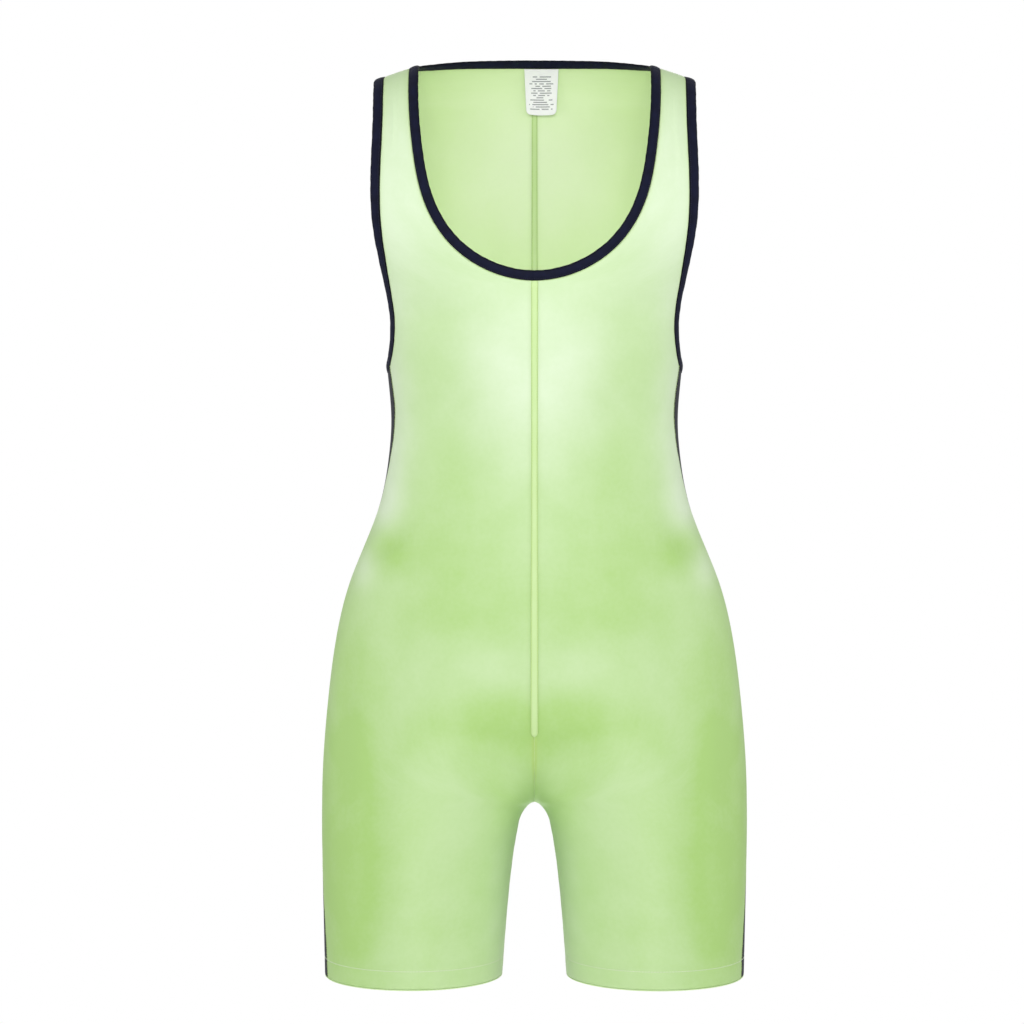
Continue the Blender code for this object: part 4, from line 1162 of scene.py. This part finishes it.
def makeLabelCloth():
    # Satin weave of the label with rows of short grey bars
    material, shape = cloths["labelWeave"], labelShape
    tree = material.node_tree
    colour = tree.nodes["Principled BSDF"].inputs["Base Color"]
    woven = colour.links[0].from_socket
    where = addNode(tree, "ShaderNodeUVMap", uv_map="cloth").outputs[0]
    parts = addNode(tree, "ShaderNodeSeparateXYZ", {0: where}).outputs
    across, along = parts[0], parts[1]
    line = calc(tree, "DIVIDE", along, shape["barSpacing"])
    row = calc(tree, "FLOOR", line)
    chance = addNode(tree, "ShaderNodeTexWhiteNoise", {"W": row}, noise_dimensions="1D").outputs[0]
    share = calc(tree, "ADD", calc(tree, "MULTIPLY", chance, 0.55), 0.42)
    step = calc(tree, "ADD", calc(tree, "DIVIDE", across, shape["barStep"]), chance)
    bar = addNode(tree, "ShaderNodeCombineXYZ", {0: row, 1: calc(tree, "FLOOR", step)}).outputs[0]
    broken = addNode(tree, "ShaderNodeTexWhiteNoise", {"Vector": bar}, noise_dimensions="2D").outputs[0]
    mask = 0.82
    for test, value, limit in (
        ("LESS_THAN", calc(tree, "FRACT", line), shape["barThickness"] / shape["barSpacing"]),
        ("LESS_THAN", calc(tree, "ABSOLUTE", across), calc(tree, "MULTIPLY", share, shape["barReach"])),
        ("GREATER_THAN", along, shape["barsFrom"]),
        ("LESS_THAN", along, shape["barsTo"]),
        ("GREATER_THAN", broken, 0.24),
    ):
        mask = calc(tree, "MULTIPLY", calc(tree, test, value, limit), mask)
    tree.links.new(blend(tree, mask, woven, tint(92, 96, 106)), colour)
    return material


def makeLabel(name, material):
    shape = labelShape
    down = np.linspace(0, 1, shape["rows"] + 1)
    down = np.concatenate((down[:-4], 1 - np.array((0.095, 0.065, 0.040, 0.020, 0.008, 0.0))))[:, None]
    across = np.sin(np.linspace(-1, 1, shape["columns"] + 1) * math.pi / 2)[None, :]
    fromEnd, radius = (1 - down) * shape["length"], shape["cornerRadius"]
    cut = radius - np.sqrt(np.maximum(radius**2 - np.maximum(radius - fromEnd, 0) ** 2, 0))
    half = shape["width"] / 2 * (1 - shape["taper"] * down) - cut
    x = shape["shift"] + half * across
    z = shape["top"] - shape["length"] * down - 0.0008 * down * (1 - across**2)
    shares, drops = place(np.abs(x).ravel(), z.ravel(), "back")
    side = np.where(x.ravel() < 0, -1.0, 1.0)
    turn = np.stack((side, np.ones_like(side), np.ones_like(side)), axis=1)
    normals = (outwardNormals(shares, drops) * turn).reshape(*x.shape, 3)
    points = (surfacePoints(shares, drops) * turn).reshape(*x.shape, 3)
    stand = shape["topGap"] + (shape["bottomGap"] - shape["topGap"]) * down**1.5
    stand = (stand + shape["edgeCurl"] * down**1.6 * across**2 * (1 + 0.4 * across))[..., None]
    edge = np.exp(-np.minimum((1 - np.abs(across)) * half, fromEnd) / 0.0006)
    return wallPiece(name, points - normals * (stand + shape["thickness"]), points - normals * stand,
                     [material], spreadOut(x - shape["shift"], down * shape["length"]), {"seam": edge})


pieces["neck_label"] = makeLabel("neck_label_woven", makeLabelCloth())
print("stage: label hung")


def makeStitchTree():
    # One thread loop for each step along a guide, laid on the cloth and slanted to and fro if asked
    tree = bpy.data.node_groups.new("stitchesAlongSeam", "GeometryNodeTree")
    for label, kind, value in (
        ("Guide", "Geometry", None), ("Pitch", "Float", 0.0026), ("Stitch Length", "Float", 0.0019),
        ("Thread Radius", "Float", 0.0002), ("Rise", "Float", 0.00012), ("Slant", "Float", 0.0),
        ("Unevenness", "Float", 0.08), ("Seed", "Int", 7), ("Thread", "Material", None),
    ):
        socket = tree.interface.new_socket(name=label, in_out="INPUT", socket_type="NodeSocket" + kind)
        if value is not None:
            socket.default_value = value
    tree.interface.new_socket(name="Stitches", in_out="OUTPUT", socket_type="NodeSocketGeometry")
    given = addNode(tree, "NodeGroupInput").outputs

    def add(kind, inputs=None, **settings):
        return addNode(tree, kind, inputs, **settings).outputs

    def times(value, factor):
        return calc(tree, "MULTIPLY", value, factor)

    curve = add("GeometryNodeMeshToCurve", {"Mesh": given["Guide"]})["Curve"]
    spaced = add("GeometryNodeResampleCurve", {"Curve": curve, "Length": given["Pitch"]},
                 mode="LENGTH")["Curve"]
    facing = add("GeometryNodeInputNamedAttribute", {"Name": "facing"}, data_type="FLOAT_VECTOR")["Attribute"]
    upright = add("FunctionNodeAlignRotationToVector", {"Vector": facing}, axis="Z")[0]
    tangent = add("GeometryNodeInputTangent")[0]
    ahead = add("FunctionNodeAlignRotationToVector", {"Rotation": upright, "Vector": tangent},
                axis="X", pivot_axis="Z")[0]
    parity = calc(tree, "MODULO", add("GeometryNodeInputIndex")[0], 2.0)
    lean = times(calc(tree, "SUBTRACT", times(parity, 2.0), 1.0), given["Slant"])
    turn = add("FunctionNodeAxisAngleToRotation", {"Axis": (0, 0, 1), "Angle": lean})[0]
    slanted = add("FunctionNodeRotateRotation", {"Rotation": ahead, "Rotate By": turn},
                  rotation_space="LOCAL")[0]
    half, low = times(given["Stitch Length"], 0.5), times(given["Thread Radius"], -1.1)
    start, end = (add("ShaderNodeCombineXYZ", {0: x, 2: low})[0] for x in (times(half, -1.0), half))
    crest = add("ShaderNodeCombineXYZ", {2: times(given["Rise"], 2.0)})[0]
    loop = add("GeometryNodeCurveQuadraticBezier",
               {"Resolution": 4, "Start": start, "Middle": crest, "End": end})[0]
    ring = add("GeometryNodeCurvePrimitiveCircle", {"Resolution": 5, "Radius": given["Thread Radius"]})[0]
    thread = add("GeometryNodeCurveToMesh", {"Curve": loop, "Profile Curve": ring, "Fill Caps": True})["Mesh"]
    least, most = (calc(tree, change, 1.0, given["Unevenness"]) for change in ("SUBTRACT", "ADD"))
    uneven = add("FunctionNodeRandomValue", {2: least, 3: most, "Seed": given["Seed"]}, data_type="FLOAT")[1]
    laid = add("GeometryNodeInstanceOnPoints",
               {"Points": spaced, "Instance": thread, "Rotation": slanted, "Scale": uneven})[0]
    real = add("GeometryNodeRealizeInstances", {0: laid})[0]
    smooth = add("GeometryNodeSetShadeSmooth", {"Geometry": real})[0]
    dyed = add("GeometryNodeSetMaterial", {"Geometry": smooth, "Material": given["Thread"]})[0]
    addNode(tree, "NodeGroupOutput", {0: dyed})
    return tree


stitchTree = makeStitchTree()
socketOf = {item.name: item.identifier for item in stitchTree.interface.items_tree if item.in_out == "INPUT"}


def sewAlong(name, lines, closed, thread, values):
    # Plain mesh of stitches along the guide lines, each a pair of points and facing directions
    edges, start = [], 0
    for line, _ in lines:
        count = len(line)
        edges += [(start + i, start + (i + 1) % count) for i in range(count if closed else count - 1)]
        start += count
    points, facings = (np.concatenate(part) for part in zip(*lines))
    mesh = bpy.data.meshes.new(name + "_guide")
    mesh.from_pydata(points.tolist(), edges, [])
    facing = mesh.attributes.new("facing", "FLOAT_VECTOR", "POINT")
    facing.data.foreach_set("vector", facings.astype(np.float32).ravel())
    guide = addObject(name + "_guide", mesh)
    modifier = guide.modifiers.new("stitches", "NODES")
    modifier.node_group = stitchTree
    for label, value in values.items():
        modifier[socketOf[label]] = value
    modifier[socketOf["Thread"]] = threads[thread]
    graph = bpy.context.evaluated_depsgraph_get()
    made = bpy.data.meshes.new_from_object(guide.evaluated_get(graph))
    made.name = name
    bpy.data.objects.remove(guide, do_unlink=True)
    piece = addObject(name, made)
    corners = np.array([p.vertices[:] + (p.vertices[-1],) * (5 - len(p.vertices)) for p in made.polygons])
    at = np.array([v.co[:] for v in made.vertices])
    if signedVolume(at, corners) < 0:
        made.flip_normals()
    return piece


# How each kind of stitch is made
sewing = {
    "topstitch": {"Pitch": 0.0027, "Stitch Length": 0.0024, "Thread Radius": 0.00032, "Rise": 0.00018,
                  "Slant": 0.0, "Unevenness": 0.06, "Seed": 3},
    "flatlock": {"Pitch": 0.0021, "Stitch Length": 0.0027, "Thread Radius": 0.00016, "Rise": 0.00018,
                 "Slant": 1.02, "Unevenness": 0.07, "Seed": 11},
    "tape": {"Pitch": 0.0024, "Stitch Length": 0.0018, "Thread Radius": 0.00014, "Rise": 0.00010,
             "Slant": 0.0, "Unevenness": 0.05, "Seed": 5},
    "zigzag": {"Pitch": 0.0019, "Stitch Length": 0.0024, "Thread Radius": 0.00016, "Rise": 0.00014,
               "Slant": 0.75, "Unevenness": 0.07, "Seed": 9},
}


# How far above the cloth the thread runs
sewnRise = {"hem": 0.00006, "seam": 0.00045, "shoulder": 0.0004}


def seamBetween(first, second, rows, column, otherColumn):
    # Stitch line just over the seam between two panels
    line = (first["outer"][rows, column] + second["outer"][rows, otherColumn]) / 2
    normals = unit(first["normals"][rows, column] + second["normals"][rows, otherColumn])
    return line + normals * sewnRise["seam"], normals


hemLines, sideLines, inseamLines, shoulderLines = [], [], [], []
level = rowPlan["hemLevels"].index(0.0160)
for side in hands.values():
    front, back, middle = panelsOn(side)
    ring, normals = (
        np.concatenate((front[field][level], middle[field][level, 1:-1], back[field][level, :0:-1]))
        for field in ("outer", "normals"))
    hemLines.append((ring + unit(normals) * sewnRise["hem"], unit(normals)))
    rows = slice(1, front["rowOf"]["armhole"] + 1)
    sideLines += [seamBetween(front, middle, rows, -1, 0), seamBetween(back, middle, rows, -1, -1)]
    inseamLines.append(seamBetween(front, back, slice(0, front["rowOf"]["crotch"] - 3), 0, 0))
    behind = np.linspace(2, back["outer"].shape[1] - 3, front["outer"].shape[1] - 4).round().astype(int)
    line = (front["outer"][-1, 2:-2] + back["outer"][-1, behind]) / 2
    shoulderLines.append((line + (0, 0, sewnRise["shoulder"]), unit(front["normals"][-1, 2:-2])))
for stem, lines, closed, thread, kind in (
    ("hem", hemLines, True, "paleLime", "topstitch"),
    ("side", sideLines, False, "lime", "flatlock"),
    ("inseam", inseamLines, False, "lime", "flatlock"),
    ("shoulder", shoulderLines, False, "lime", "flatlock"),
    ("binding", bandLines, True, "navy", "zigzag"),
    ("front_tape", tapeLines["front"], False, "lime", "tape"),
    ("back_tape", tapeLines["back"], False, "lime", "tape"),
):
    name = stem + "_stitches"
    pieces[name] = sewAlong(name, lines, closed, thread, sewing[kind])
print("stage: sewn,", sum(len(pieces[n].data.polygons) for n in pieces if "stitches" in n), "thread faces")

for name, piece in pieces.items():
    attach(piece, "root")
    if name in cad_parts:
        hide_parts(name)
    if name.startswith(("front_", "back_", "hem_", "side_stitches", "inseam", "shoulder")):
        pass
    elif name.startswith("side_panel"):
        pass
    elif "binding" in name:
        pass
    else:
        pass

cameraPlan = {"where": (0.0, -3.2, -0.25), "focalPixels": 3.2 / 0.00089, "originPixel": (534.6, 68.0),
              "imageSize": 1024}


def addCamera():
    plan = cameraPlan
    focal, half = plan["focalPixels"], plan["imageSize"] / 2
    camera = bpy.data.cameras.new("camera")
    camera.sensor_width = 36.0
    camera.lens = focal / plan["imageSize"] * 36.0
    seat = addObject("camera", camera)
    where = np.array(plan["where"])
    yaw = pitch = 0.0
    for _ in range(50):  # turns until the suit's origin lands on its pixel
        ahead = np.array((-math.sin(yaw) * math.cos(pitch), math.cos(yaw) * math.cos(pitch), math.sin(pitch)))
        right = unit(np.cross(ahead, (0, 0, 1)))
        up = np.cross(right, ahead)
        depth = -where @ ahead
        yaw -= (half + focal * (-where @ right) / depth - plan["originPixel"][0]) / focal
        pitch -= (half - focal * (-where @ up) / depth - plan["originPixel"][1]) / focal
    turn = Matrix((right, up, -ahead)).transposed()
    seat.matrix_world = Matrix.Translation(Vector(where)) @ turn.to_4x4()
    camera.clip_end = 50
    bpy.context.scene.camera = seat


lights = {
    "leftSoftbox": {"at": (-2.5, -1.1, 0.1), "aim": (0.0, 0.0, -0.36), "size": (0.8, 1.2), "power": 9.6},
    "rightSoftbox": {"at": (2.5, -1.1, 0.1), "aim": (0.0, 0.0, -0.36), "size": (0.8, 1.2), "power": 10.2},
    "leftEdge": {"at": (-1.8, 0.5, -0.1), "aim": (0.0, 0.0, -0.36), "size": (0.5, 1.0), "power": 3.0},
    "rightEdge": {"at": (1.8, 0.5, -0.1), "aim": (0.0, 0.0, -0.36), "size": (0.5, 1.0), "power": 3.0},
    "chestSoftbox": {"at": (0.0, -1.05, 0.2), "aim": (0.0, 0.0, -0.02), "size": (0.5, 0.35), "power": 5.0},
    "legSoftbox": {"at": (0.0, -1.2, -0.95), "aim": (0.0, 0.0, -0.80), "size": (0.6, 0.3), "power": 2.6},
    "backSoftbox": {"at": (0.0, 2.7, 0.5), "aim": (0.0, 0.0, -0.36), "size": (1.4, 1.2), "power": 7.0},
    "betweenLegs": {"at": (0.0, 0.7, -1.1), "aim": (0.0, 0.0, -0.72), "size": (0.4, 0.3), "power": 1.2},
}
room = {"floorHeight": -1.25, "floorRadius": 1.7, "ambient": 0.52}


def addLight(name, plan):
    lamp = bpy.data.lights.new(name, "AREA")
    lamp.shape = "RECTANGLE"
    lamp.size, lamp.size_y = plan["size"]
    lamp.energy = plan["power"]
    holder, towards = addObject(name, lamp), Vector(plan["aim"]) - Vector(plan["at"])
    holder.location, holder.rotation_euler = plan["at"], towards.to_track_quat("-Z", "Y").to_euler()


def addRoom():
    world = bpy.data.worlds.new("studio")
    bpy.context.scene.world = world
    world.use_nodes = True
    tree = world.node_tree
    soft = tree.nodes["Background"]
    white = (1.0, 1.0, 1.0, 1.0)
    soft.inputs["Color"].default_value, soft.inputs["Strength"].default_value = white, room["ambient"]
    seen = addNode(tree, "ShaderNodeBackground", {"Color": white, "Strength": 1.0}).outputs[0]
    toCamera = addNode(tree, "ShaderNodeLightPath").outputs["Is Camera Ray"]
    mix = addNode(tree, "ShaderNodeMixShader", {0: toCamera, 1: soft.outputs[0], 2: seen})
    tree.links.new(mix.outputs[0], tree.nodes["World Output"].inputs["Surface"])
    angle = np.linspace(0, math.tau, 129)[:-1]
    rim = np.stack((np.cos(angle) * room["floorRadius"], np.sin(angle) * room["floorRadius"],
                    np.full_like(angle, room["floorHeight"])), axis=1)
    mesh = bpy.data.meshes.new("floor")
    mesh.from_pydata(rim.tolist(), [], [tuple(range(128))])
    mesh.materials.append(newFinish("paleFloor", {"Base Color": (0.90, 0.90, 0.90, 1.0), "Roughness": 0.75})[0])
    floor = addObject("floor", mesh)


addCamera()
for name, plan in lights.items():
    addLight(name, plan)
addRoom()
bpy.context.scene.view_settings.view_transform = "Standard"
print("stage: camera and lights set")

bpy.context.view_layer.update()
